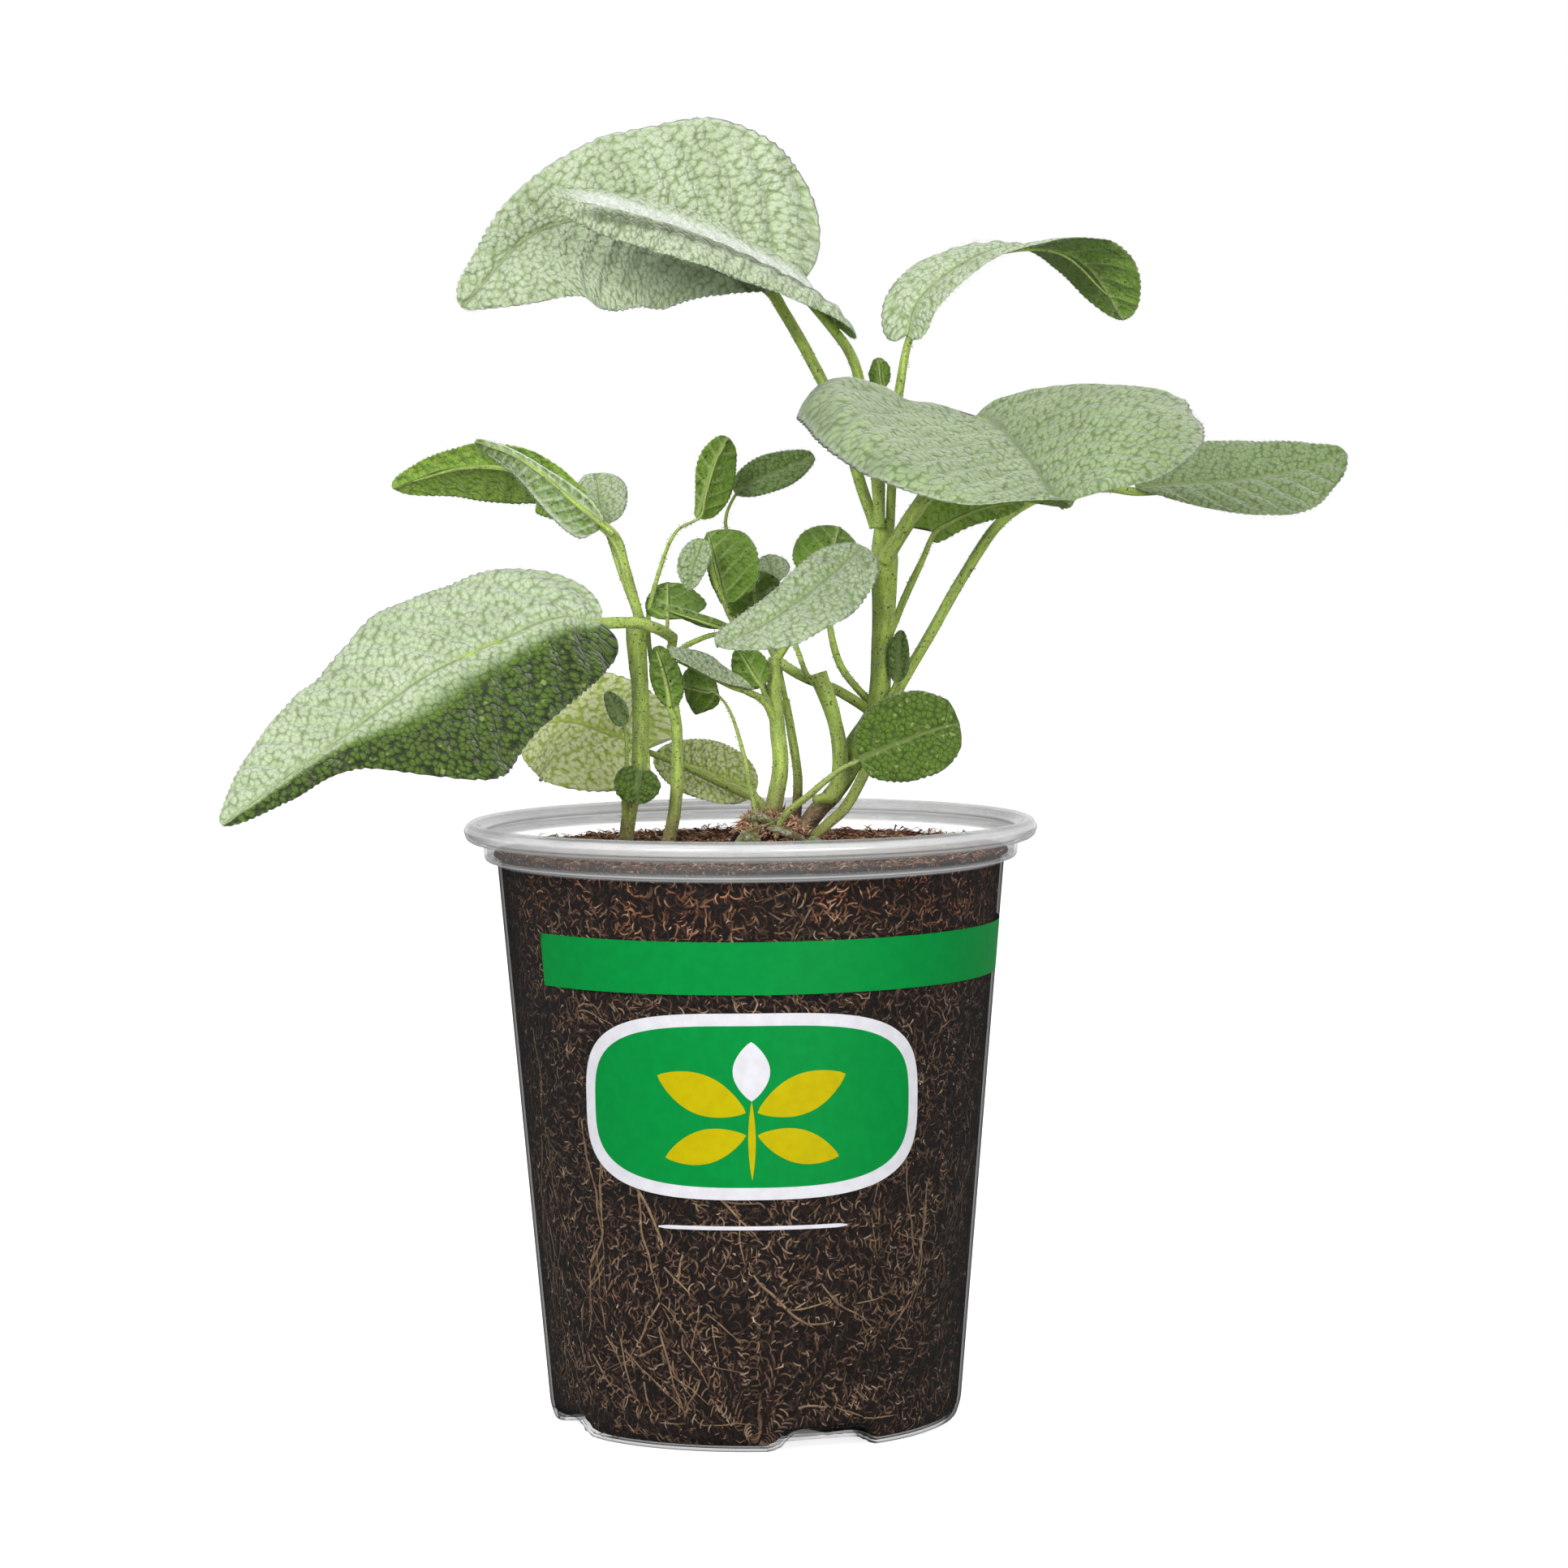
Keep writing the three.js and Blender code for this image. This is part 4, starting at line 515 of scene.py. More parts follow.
    def stalk(self):
        """Points and radii of the stalk, and of the rib that runs on under the blade."""
        thick, points = self.spec["thick"], self.spec["stalk"]
        reach = np.array(RIB_STATIONS)
        under = self.rib.at(reach) - self.frame(reach)[1] * (RIB_UNDER + thick * (1 - reach[:, None]) * 0.6)
        radii = [thick] * len(points) + [max(thick * (1 - 0.88 * u) * 0.8, 0.16) for u in reach]
        return [*points, *under.tolist()], radii


# Mesh helpers
def place(verts, xyz):
    for vert, p in zip(verts, (xyz * MM).tolist()):
        vert.co = p


def marked_mesh(*marks):
    """An empty mesh with a number at each vertex for every mark."""
    bm = bmesh.new()
    for mark in marks:
        bm.verts.layers.float.new(mark)
    return bm


def write(bm, verts, name, values):
    layer = bm.verts.layers.float[name]
    for vert, value in zip(verts, values.tolist()):
        vert[layer] = value


def grid(bm, across, up, material=0):
    """A flat grid; gives its vertices and their places from 0 to 1 both ways."""
    before = len(bm.faces)
    made = bmesh.ops.create_grid(bm, x_segments=across, y_segments=up, size=0.5)["verts"]
    co = np.array([v.co[:2] for v in made]) + 0.5
    bm.faces.ensure_lookup_table()
    for face in bm.faces[before:]:
        face.material_index = material
    return made, co[:, 0], co[:, 1]


def finish_piece(name, bm, materials, nodes=()):
    """Turn a mesh into one smooth piece that rides on the root."""
    mesh = bpy.data.meshes.new(name)
    bm.to_mesh(mesh)
    bm.free()
    mesh.polygons.foreach_set("use_smooth", [True] * len(mesh.polygons))
    for material in materials:
        mesh.materials.append(material)
    piece = bpy.data.objects.new(name, mesh)
    bpy.context.scene.collection.objects.link(piece)
    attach(piece, "root")
    if nodes:
        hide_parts(*nodes)
    return piece


def square_to(along, order, rows):
    """A way square to a line at each row of its skin, carried from row to row so that it doesn't twist."""
    way = np.array([0.0, 0.0, 1.0]) if abs(along[0, 2]) < 0.9 else np.array([1.0, 0.0, 0.0])
    carried = {}
    for row, t in zip(rows[order], along[order]):
        if row not in carried:
            way = way - np.dot(way, t) * t
            way = way / np.linalg.norm(way)
            carried[row] = way
    return np.array([carried[row] for row in rows])


# Marks that the stems' skin reads, and the height up to which a foot is woody, with the length of its fading
TUBE_MARKS = ("woody", "around", "along")
WOOD_TOP, WOOD_FADE = 104, 8


def add_tube(bm, points, radii, sides, step, seed, woody=0.0, ridges=0.05):
    """A stem or stalk with four soft ridges, closed to a point at both ends."""
    line = Line(points)
    rows = max(int(line.length / step), 6)
    verts, a, b = grid(bm, rows, sides)
    u = np.clip((a * rows - 1) / (rows - 2), 0, 1)
    along = line.along(u)
    side = square_to(along, np.argsort(a, kind="stable"), np.round(a * rows).astype(int))
    other = np.cross(along, side)
    angle = 2 * math.pi * b
    lumps = value_noise(u * line.length / 2.5, 3 * np.cos(angle) + 7, seed) - 0.5
    between_ends = (a > 0.5 / rows) & (a < 1 - 0.5 / rows)
    r = listed(radii, u) * (1 + ridges * np.cos(4 * angle) + 0.06 * lumps) * between_ends
    xyz = line.at(u) + (r * np.cos(angle))[:, None] * side + (r * np.sin(angle))[:, None] * other
    place(verts, xyz)
    over = np.maximum(xyz[:, 2] - WOOD_TOP, 0)
    write(bm, verts, "woody", np.clip(woody * 2.2 * np.exp(-((over / WOOD_FADE) ** 2)), 0, 1))
    write(bm, verts, "around", angle)
    write(bm, verts, "along", u * line.length)
    bmesh.ops.remove_doubles(bm, verts=verts, dist=1e-7)


def add_blade(bm, blade):
    """The leaf's two skins, sewn together along the edge."""
    step = blade.grain["step"]
    rows = max(int(blade.rib.length / step), 12)
    half = max(int(max(blade.widest) / step), 5)
    for material, sign in ((0, 1), (1, -1)):
        verts, a, b = grid(bm, rows, 2 * half, material)
        u = 0.5 * a + 0.5 * (1 - np.cos(math.pi * a)) / 2
        v = b * 2 - 1
        rise, vein, row, reach = blade.relief(u, v)
        inside = (np.abs(v) < 0.9999) & (a > 1e-6) & (a < 1 - 1e-6)
        lifted = rise + sign * SKIN_THICKNESS / 2 * np.sqrt(1 - np.abs(v) ** 6)
        offset = np.where(inside, lifted, 0) + blade.ripple(u, v)
        place(verts, blade.sheet(u, v) + blade.normals(u, v) * offset[:, None])
        marks = dict(row=row, reach=reach, vein=vein, edge=np.abs(v), down_and_painted_light=blade.down_and_painted_light(v),
                     felt_and_shade=blade.felt_and_shade(u, v))
        for mark, values in marks.items():
            write(bm, verts, mark, values)
        if sign > 0:
            bm.normal_update()
            middle = min(range(len(verts)), key=lambda k: abs(a[k] - 0.5) + abs(b[k] - 0.55))
            turned = np.dot(np.array(verts[middle].normal), blade.normals(u[[middle]], v[[middle]])[0]) < 0
        if turned == (sign > 0):
            bmesh.ops.reverse_faces(bm, faces=[f for f in bm.faces if f.material_index == material])
    bmesh.ops.remove_doubles(bm, verts=bm.verts[:], dist=2e-6)


# Materials
class Wires:
    """Short ways to add and join shader nodes."""

    def __init__(self, tree):
        self.tree = tree

    def add(self, kind, **settings):
        node = self.tree.nodes.new("ShaderNode" + kind)
        for key, value in settings.items():
            setattr(node, key, value)
        return node

    def join(self, source, target):
        self.tree.links.new(source, target)

    def fill(self, socket, value):
        if isinstance(value, bpy.types.NodeSocket):
            self.join(value, socket)
        else:
            socket.default_value = value

    def mark(self, name):
        return self.add("Attribute", attribute_name=name).outputs["Fac"]

    def place(self, scale=(1, 1, 1)):
        mapping = self.add("Mapping")
        self.join(self.add("TexCoord").outputs["Object"], mapping.inputs[0])
        mapping.inputs["Scale"].default_value = scale
        return mapping.outputs[0]

    def parts(self, vector):
        """The three numbers of a vector or colour."""
        split = self.add("SeparateXYZ")
        self.join(vector, split.inputs[0])
        return split.outputs

    def maths(self, operation, a, b=0.0, c=0.0, clamp=False):
        node = self.add("Math", operation=operation, use_clamp=clamp)
        for socket, value in zip(node.inputs, (a, b, c)):
            self.fill(socket, value)
        return node.outputs[0]

    def times(self, a, b):
        return self.maths("MULTIPLY", a, b)

    def span(self, value, low, high, to_low=0.0, to_high=1.0, kind="SMOOTHSTEP"):
        node = self.add("MapRange", clamp=True, interpolation_type=kind)
        self.fill(node.inputs[0], value)
        for k, number in enumerate((low, high, to_low, to_high)):
            node.inputs[k + 1].default_value = number
        return node.outputs[0]

    def mix(self, share, a, b):
        node = self.add("Mix", data_type="RGBA")
        colours = [s for s in node.inputs if s.type == "RGBA"]
        self.fill(node.inputs[0], share)
        for socket, value in zip(colours, (a, b)):
            self.fill(socket, value if isinstance(value, bpy.types.NodeSocket) else (*value, 1.0)[:4])
        return next(s for s in node.outputs if s.type == "RGBA")

    def mix_shaders(self, share, a, b):
        node = self.add("MixShader")
        for socket, value in zip(node.inputs, (share, a, b)):
            self.fill(socket, value)
        return node.outputs[0]

    def noise(self, size, detail=3.0, rough=0.55, at=None, warp=0.0):
        """Noise whose bumps are about size millimetres wide."""
        node = self.add("TexNoise")
        self.join(at or self.place(), node.inputs["Vector"])
        node.inputs["Scale"].default_value = 1 / (size * MM)
        node.inputs["Detail"].default_value = detail
        node.inputs["Roughness"].default_value = rough
        node.inputs["Distortion"].default_value = warp
        return node.outputs[0]

    def bump(self, height, depth, below=None):
        """A bump of that depth in millimetres, laid over another where one is given."""
        node = self.add("Bump")
        node.inputs["Strength"].default_value = 1.0
        node.inputs["Distance"].default_value = depth * MM
        self.join(height, node.inputs["Height"])
        if below is not None:
            self.join(below, node.inputs["Normal"])
        return node.outputs[0]

    def strands(self, spot, size, width):
        """One short bent strand in each cell of a random pattern: its mask and a number of its own."""
        scaled = self.add("VectorMath", operation="SCALE")
        self.join(spot, scaled.inputs[0])
        scaled.inputs["Scale"].default_value = 1 / (size * MM)
        cells = self.add("TexVoronoi", voronoi_dimensions="2D")
        self.join(scaled.outputs[0], cells.inputs["Vector"])
        cells.inputs["Scale"].default_value = 1
        away = self.add("VectorMath", operation="SUBTRACT")
        self.join(scaled.outputs[0], away.inputs[0])
        self.join(cells.outputs["Position"], away.inputs[1])
        x, y = self.parts(away.outputs[0])[:2]
        turned, bowed, own = self.parts(cells.outputs["Color"])
        turn = self.times(turned, math.pi)
        cosine, sine = self.maths("COSINE", turn), self.maths("SINE", turn)
        along = self.maths("MULTIPLY_ADD", x, cosine, self.times(y, sine))
        aside = self.maths("SUBTRACT", self.times(y, cosine), self.times(x, sine))
        bow = self.maths("MULTIPLY_ADD", bowed, 2.4, -1.2)
        aside = self.maths("MULTIPLY_ADD", self.times(along, along), bow, aside)
        thin = self.span(self.maths("ABSOLUTE", aside), 0.3 * width, width, 1.0, 0.0)
        short = self.span(self.maths("ABSOLUTE", along), 0.4, 0.62, 1.0, 0.0)
        return self.times(thin, short), own

    def pebbles(self):
        """Round cells in rows along the side veins: their height, the creases between, and the vein mask."""
        spot = self.add("CombineXYZ")
        wobble = self.times(self.noise(1.8, 2), 0.9)
        self.join(self.maths("ADD", self.mark("row"), wobble), spot.inputs[0])
        self.join(self.maths("SUBTRACT", self.mark("reach"), wobble), spot.inputs[1])
        domes = []
        for scale, feature in ((1.0, "F1"), (2.3, "F1"), (1.0, "DISTANCE_TO_EDGE")):
            node = self.add("TexVoronoi", voronoi_dimensions="2D", feature=feature)
            self.join(spot.outputs[0], node.inputs["Vector"])
            node.inputs["Scale"].default_value = scale
            node.inputs["Randomness"].default_value = 0.95
            domes.append(node.outputs["Distance"])
        vein = self.mark("vein")
        large = self.maths("MULTIPLY_ADD", self.maths("POWER", domes[0], 2.0), -1.5, 1.0)
        both = self.maths("MULTIPLY_ADD", self.maths("POWER", domes[1], 2.0), -0.35, large)
        height = self.times(both, self.maths("MULTIPLY_ADD", vein, -0.6, 1.0))
        return height, self.span(domes[2], 0.0, 0.16, 1.0, 0.0), vein


def new_material(name, roughness, specular=0.5, sheen=0.0, sheen_roughness=0.5):
    """A material with one plain shader: gives it, its wires, and the shader's inputs."""
    material = bpy.data.materials.new(name)
    material.use_nodes = True
    material.node_tree.nodes.clear()
    w = Wires(material.node_tree)
    shader = w.add("BsdfPrincipled")
    w.join(shader.outputs[0], w.add("OutputMaterial").inputs[0])
    shader.inputs["Roughness"].default_value = roughness
    shader.inputs["Specular IOR Level"].default_value = specular
    shader.inputs["Sheen Weight"].default_value = sheen
    shader.inputs["Sheen Roughness"].default_value = sheen_roughness
    return material, w, shader.inputs


def linear(red, green, blue):
    """A screen colour, 0 to 255, as light."""
    shares = (c / 255 for c in (red, green, blue))
    return tuple(((c + 0.055) / 1.055) ** 2.4 if c > 10 / 255 else c / 12.92 for c in shares)


def shaded(colour, share):
    return tuple(c * share for c in colour)


def leaf_upper(colours):
    """Pebbled upper skin: whitish down over paler green on old leaves, bare darker green on young ones."""
    material, w, looks = new_material("leaf upper side", 0.66, 0.3, 0.45, 0.4)
    height, crease, vein = w.pebbles()
    edge, down_and_painted_light, felt_and_shade = w.mark("edge"), w.mark("down_and_painted_light"), w.mark("felt_and_shade")
    broad = w.noise(11, 2)
    fine = w.noise(0.4, 4, 0.75)

    # Green of body and creases, the creases darker partly as the skin's own green and partly as painted
    # shade; pale dots, brown flecks
    old = w.mix(w.span(broad, 0.35, 0.65), colours.leaf_green, shaded(colours.leaf_green, 1.2))
    young = w.mix(w.span(broad, 0.35, 0.65, 0, 0.5), colours.young_green, colours.under_green)
    body = w.mix(w.span(down_and_painted_light, 0.1, 0.75), young, old)
    dark = w.mix(w.span(down_and_painted_light, 0.1, 0.9), colours.young_crease, colours.leaf_crease)
    skin = w.mix(w.maths("MULTIPLY_ADD", down_and_painted_light, -0.35, 0.8), body, w.mix(crease, body, dark))
    # Painted shade in the low parts between the pebbles
    low = w.times(w.span(height, 0.2, 0.75, 1.0, 0.0), w.maths("MULTIPLY_ADD", down_and_painted_light, -0.3, 0.65))
    skin = w.mix(low, skin, dark)
    dots = w.times(w.span(w.noise(1.3, 1, 0.5), 0.66, 0.74), w.maths("MULTIPLY_ADD", down_and_painted_light, -0.5, 0.5))
    skin = w.mix(dots, skin, colours.vein)
    skin = w.mix(w.span(w.noise(0.9, 1, 0.5), 0.73, 0.77, 0.0, 0.8), skin, linear(70, 52, 30))

    # Whitish down on the pebbles' tops, partly a painted highlight, then paler veins and a paler edge
    down_and_highlight = w.times(w.span(height, 0.1, 0.8, 0.3, 0.8), w.span(fine, 0.3, 0.62, 0.6, 1.0))
    down_and_highlight = w.times(down_and_highlight, w.span(broad, 0.3, 0.7, 0.75, 1.0))
    skin = w.mix(w.times(down_and_highlight, down_and_painted_light), skin, colours.leaf_down)
    skin = w.mix(w.times(w.span(vein, 0.5, 0.95), 0.28), skin, colours.vein)
    edging = w.times(w.span(edge, 0.96, 1.0), w.maths("MULTIPLY_ADD", down_and_painted_light, 0.4, 0.25))
    skin = w.mix(edging, skin, colours.leaf_down)

    # Cover under 0 paints deep shade, strongest in the creases, and over 1 paints the yellow-green glow of
    # light shining through
    deep = w.span(down_and_painted_light, -0.3, 0.0, 0.55, 0.0)
    painted_deep_shade = w.maths("MULTIPLY", deep, w.span(height, 0.25, 0.85, 1.6, 0.4), clamp=True)
    skin = w.mix(painted_deep_shade, skin, shaded(colours.young_crease, 0.3))
    painted_glow = w.mix(w.span(height, 0.2, 0.8), linear(196, 222, 84), linear(248, 255, 190))
    skin = w.mix(w.span(down_and_painted_light, 1.0, 1.3, 0.0, 0.88), skin, painted_glow)
    # Painted shade beside the rib, where the felt mark is under 0
    skin = w.mix(w.span(felt_and_shade, -0.9, -0.2, 0.75, 0.0), skin, colours.young_crease)
    matted = w.mix(w.span(w.noise(0.5, 4, 0.7), 0.4, 0.6), linear(196, 208, 192), linear(236, 240, 234))
    w.join(w.mix(w.span(felt_and_shade, 0.25, 0.85, 0.0, 0.9), skin, matted), looks["Base Color"])

    hairs = w.bump(w.noise(0.22, 3, 0.75, warp=0.4), 0.05)
    domes = w.bump(height, 1.0, below=w.bump(w.noise(0.5, 3, 0.6), 0.09, below=hairs))
    firm = w.maths("MAXIMUM", w.span(down_and_painted_light, -0.3, 0.0, 0.6, 0.4), w.span(down_and_painted_light, 0.1, 0.8, 0.4, 0.7))
    w.join(w.times(firm, w.span(felt_and_shade, 0.25, 0.85, 1.0, 0.3)), domes.node.inputs["Strength"])
    w.join(domes, looks["Normal"])
    return material


def leaf_under(colours):
    """Under skin: brighter green with a raised, paler net and dark specks."""
    material, w, looks = new_material("leaf under side", 0.58, 0.3, 0.1)
    height, crease, vein = w.pebbles()
    edge, down_and_painted_light = w.mark("edge"), w.mark("down_and_painted_light")
    under = colours.under_green
    skin = w.mix(w.span(w.noise(7, 2), 0.3, 0.7), under, shaded(under, 0.6))
    skin = w.mix(w.span(height, 0.3, 0.95, 0.0, 0.5), skin, shaded(under, 1.3))
    skin = w.mix(w.times(crease, 0.18), skin, colours.vein)
    skin = w.mix(w.span(vein, 0.3, 0.9, 0.0, 0.45), skin, colours.vein)
    skin = w.mix(w.span(w.noise(0.8, 1, 0.5), 0.69, 0.74), skin, shaded(under, 0.15))
    # Painted glow of light shining through the leaf, where cover is over 1
    painted_glow = w.mix(w.span(height, 0.3, 0.9), linear(120, 160, 34), linear(160, 198, 62))
    skin = w.mix(w.span(down_and_painted_light, 1.0, 1.25, 0.0, 0.7), skin, painted_glow)
    fuzz = w.times(w.span(w.noise(0.35, 3, 0.7), 0.45, 0.7), w.maths("MULTIPLY_ADD", down_and_painted_light, 0.16, 0.03))
    skin = w.mix(fuzz, skin, colours.leaf_down)
    matted = w.span(w.noise(1.4, 3), 0.4, 0.65, 0.04, 0.3)
    veined = w.maths("MULTIPLY_ADD", w.span(vein, 0.15, 0.7), 0.22, matted)
    lined = w.maths("MAXIMUM", veined, w.span(edge, 0.72, 0.95, 0.0, 0.8))
    skin = w.mix(w.times(w.span(w.mark("felt_and_shade"), 0.2, 0.8), lined), skin, linear(214, 226, 200))
    w.join(w.mix(w.span(edge, 0.965, 1.0, 0.0, 0.4), skin, colours.leaf_down), looks["Base Color"])
    w.join(w.bump(height, -0.2, below=w.bump(w.noise(0.4, 3, 0.6), 0.05)), looks["Normal"])
    return material


def stem_skin(colours):
    """Green stem, woody at the foot, streaked along its length, with dark specks and short down."""
    material, w, looks = new_material("sage stem skin", 0.6, 0.3, 0.2)
    green, bark = colours.stem_green, colours.stem_bark
    lengthwise = w.add("CombineXYZ")
    w.join(w.times(w.mark("around"), 0.9 * MM), lengthwise.inputs[0])
    w.join(w.times(w.mark("along"), 0.12 * MM), lengthwise.inputs[1])
    streak = w.noise(0.5, 3, 0.6, at=lengthwise.outputs[0])
    patches = w.noise(6, 2)
    skin = w.mix(w.span(streak, 0.3, 0.65), green, shaded(green, 0.5))
    skin = w.mix(w.span(patches, 0.35, 0.75, 0.0, 0.5), skin, shaded(green, 1.35))
    skin = w.mix(w.span(w.noise(0.35, 3, 0.7), 0.42, 0.7, 0.0, 0.32), skin, colours.leaf_down)
    # Darker and browner, in patches, over the lowest stretch of stem above the mix
    height = w.parts(w.place())[2]
    darker_near_foot = w.times(w.span(height, 0.103, 0.121, 0.62, 0.0), w.span(patches, 0.3, 0.6, 0.7, 1.0))
    skin = w.mix(darker_near_foot, skin, linear(104, 88, 34))
    rough = w.mix(w.span(w.noise(1.6, 4, 0.65), 0.35, 0.65), bark, shaded(bark, 0.45))
    skin = w.mix(w.mark("woody"), skin, rough)
    skin = w.mix(w.span(w.noise(0.55, 1, 0.5), 0.66, 0.7, 0.0, 0.85), skin, linear(38, 34, 20))
    skin = w.mix(w.span(w.noise(0.3, 3, 0.7), 0.52, 0.66, 0.0, 0.3), skin, colours.leaf_down)
    w.join(skin, looks["Base Color"])
    w.join(w.bump(streak, 0.12, below=w.bump(w.noise(0.3, 3, 0.7), 0.05)), looks["Normal"])
    return material


def down_hair(colours):
    material, w, looks = new_material("plant down", 0.7, 0.2)
    w.join(w.mix(w.noise(2.5, 1), colours.leaf_down, shaded(colours.leaf_down, 0.85)), looks["Base Color"])
    return material


def bristle_look():
    """Short brown-green bristles between the down."""
    material, w, looks = new_material("stem bristles", 0.6)
    tone = w.mix(w.span(w.noise(1.2, 2), 0.4, 0.6), linear(62, 70, 26), linear(40, 28, 18))
    w.join(tone, looks["Base Color"])
    w.join(w.bump(w.noise(0.3, 2), 0.02), looks["Normal"])
    return material


def worn_base(colours):
    """Old leaf bases: grey-green felt worn through to green and brown, greener at their feet."""
    material, w, looks = new_material("worn leaf bases", 0.8, sheen=0.3)
    skin = w.mix(w.span(w.noise(0.4, 4, 0.75), 0.4, 0.6), linear(96, 96, 60), linear(186, 186, 160))
    skin = w.mix(w.span(w.noise(1.8, 3, 0.6), 0.42, 0.6), skin, colours.under_green)
    skin = w.mix(w.span(w.noise(0.9, 2), 0.52, 0.6), skin, linear(112, 74, 46))
    foot = w.span(w.parts(w.place())[2], 0.1052, 0.1064, 0.75, 0.0)
    w.join(w.mix(foot, skin, colours.under_green), looks["Base Color"])
    w.join(w.bump(w.noise(0.35, 4, 0.75), 0.2), looks["Normal"])
    return material


# Strands painted on the ground: size of their cells in millimetres, half width in cells, and share of brown,
# lower for the layers laid first, which are painted darker as shade under the later ones
PAINTED_STRANDS = ((2.6, 0.13, 0.35), (2.0, 0.13, 0.6), (1.7, 0.12, 0.8), (2.3, 0.09, 1.0))
# Radius by which angles round the wall become lengths, and the height over which the mix is its open top
STRAND_RADIUS = 0.044
OPEN_TOP = 0.1029


def mix_ground(colours):
    """Peat covered with short painted strands, redder near the top, and dark in the gaps, partly the peat's
    own colour and partly painted shade.
    """
    material, w, looks = new_material("peat ground", 0.9, 0.15)
    x, y, z = w.parts(w.place())
    round_way = w.times(w.maths("ARCTAN2", x, w.times(y, -1.0)), STRAND_RADIUS)
    on_top = w.maths("GREATER_THAN", z, OPEN_TOP)
    spot = w.add("CombineXYZ")
    for k, (side, top) in enumerate(((round_way, x), (z, y))):
        w.join(w.maths("MULTIPLY_ADD", w.maths("SUBTRACT", top, side), on_top, side), spot.inputs[k])
    clods = w.noise(8, 3, 0.6)
    warm = w.times(w.span(z, 0.084, 0.1), w.span(w.noise(11, 2), 0.4, 0.55))
    brown = w.mix(warm, colours.fibre, colours.fibre_red)
    pale = w.mix(warm, linear(196, 166, 138), linear(224, 168, 128))
    # Near-black ground under the strands: partly the peat's own dark, partly painted shade
    skin = w.mix(w.span(w.noise(1.1, 4, 0.7), 0.4, 0.7), linear(14, 8, 7), colours.peat)
    height = w.noise(0.5, 3, 0.7)
    for size, width, tint in PAINTED_STRANDS:
        strand, own = w.strands(spot.outputs[0], size, width)
        tone = w.mix(w.span(own, 0.2, 0.9, 0.0, tint), linear(44, 30, 26), brown)
        tone = w.mix(w.span(own, 0.8, 1.0, 0.0, tint), tone, pale)
        skin = w.mix(w.times(strand, w.span(clods, 0.36, 0.5, 0.25, 1.0)), skin, tone)
        height = w.maths("MAXIMUM", height, strand)
    w.join(skin, looks["Base Color"])
    w.join(w.bump(height, 0.35, below=w.bump(w.noise(1.4, 4, 0.7), 0.6)), looks["Normal"])
    return material


def fibre_look(colours):
    """Coir and peat fibres, each of its own brown: redder near the top, greyer and darker lower down."""
    material, w, looks = new_material("coir fibres", 0.8, 0.3)
    tone = w.mark("tone")
    dull = w.mix(w.span(tone, 0.1, 0.65), linear(36, 22, 18), colours.fibre)
    dull = w.mix(w.span(tone, 0.72, 0.97), dull, linear(236, 204, 168))
    red = w.mix(w.span(tone, 0.05, 0.6), linear(60, 30, 20), colours.fibre_red)
    red = w.mix(w.span(tone, 0.65, 0.95), red, linear(246, 204, 170))
    w.join(w.mix(w.mark("warmth"), dull, red), looks["Base Color"])
    w.join(w.bump(w.noise(0.3, 2), 0.05), looks["Normal"])
    return material


def root_look(colours):
    material, w, looks = new_material("pale roots", 0.6)
    tone = w.mix(w.span(w.noise(2, 3), 0.35, 0.65), colours.root, shaded(colours.root, 0.55))
    w.join(tone, looks["Base Color"])
    w.join(w.bump(w.noise(0.4, 3), 0.06), looks["Normal"])
    return material


# Share of milky haze in the clear sheet, and what it gains where the sheet turns away
MILK, EDGE_MILK = 0.002, 0.02


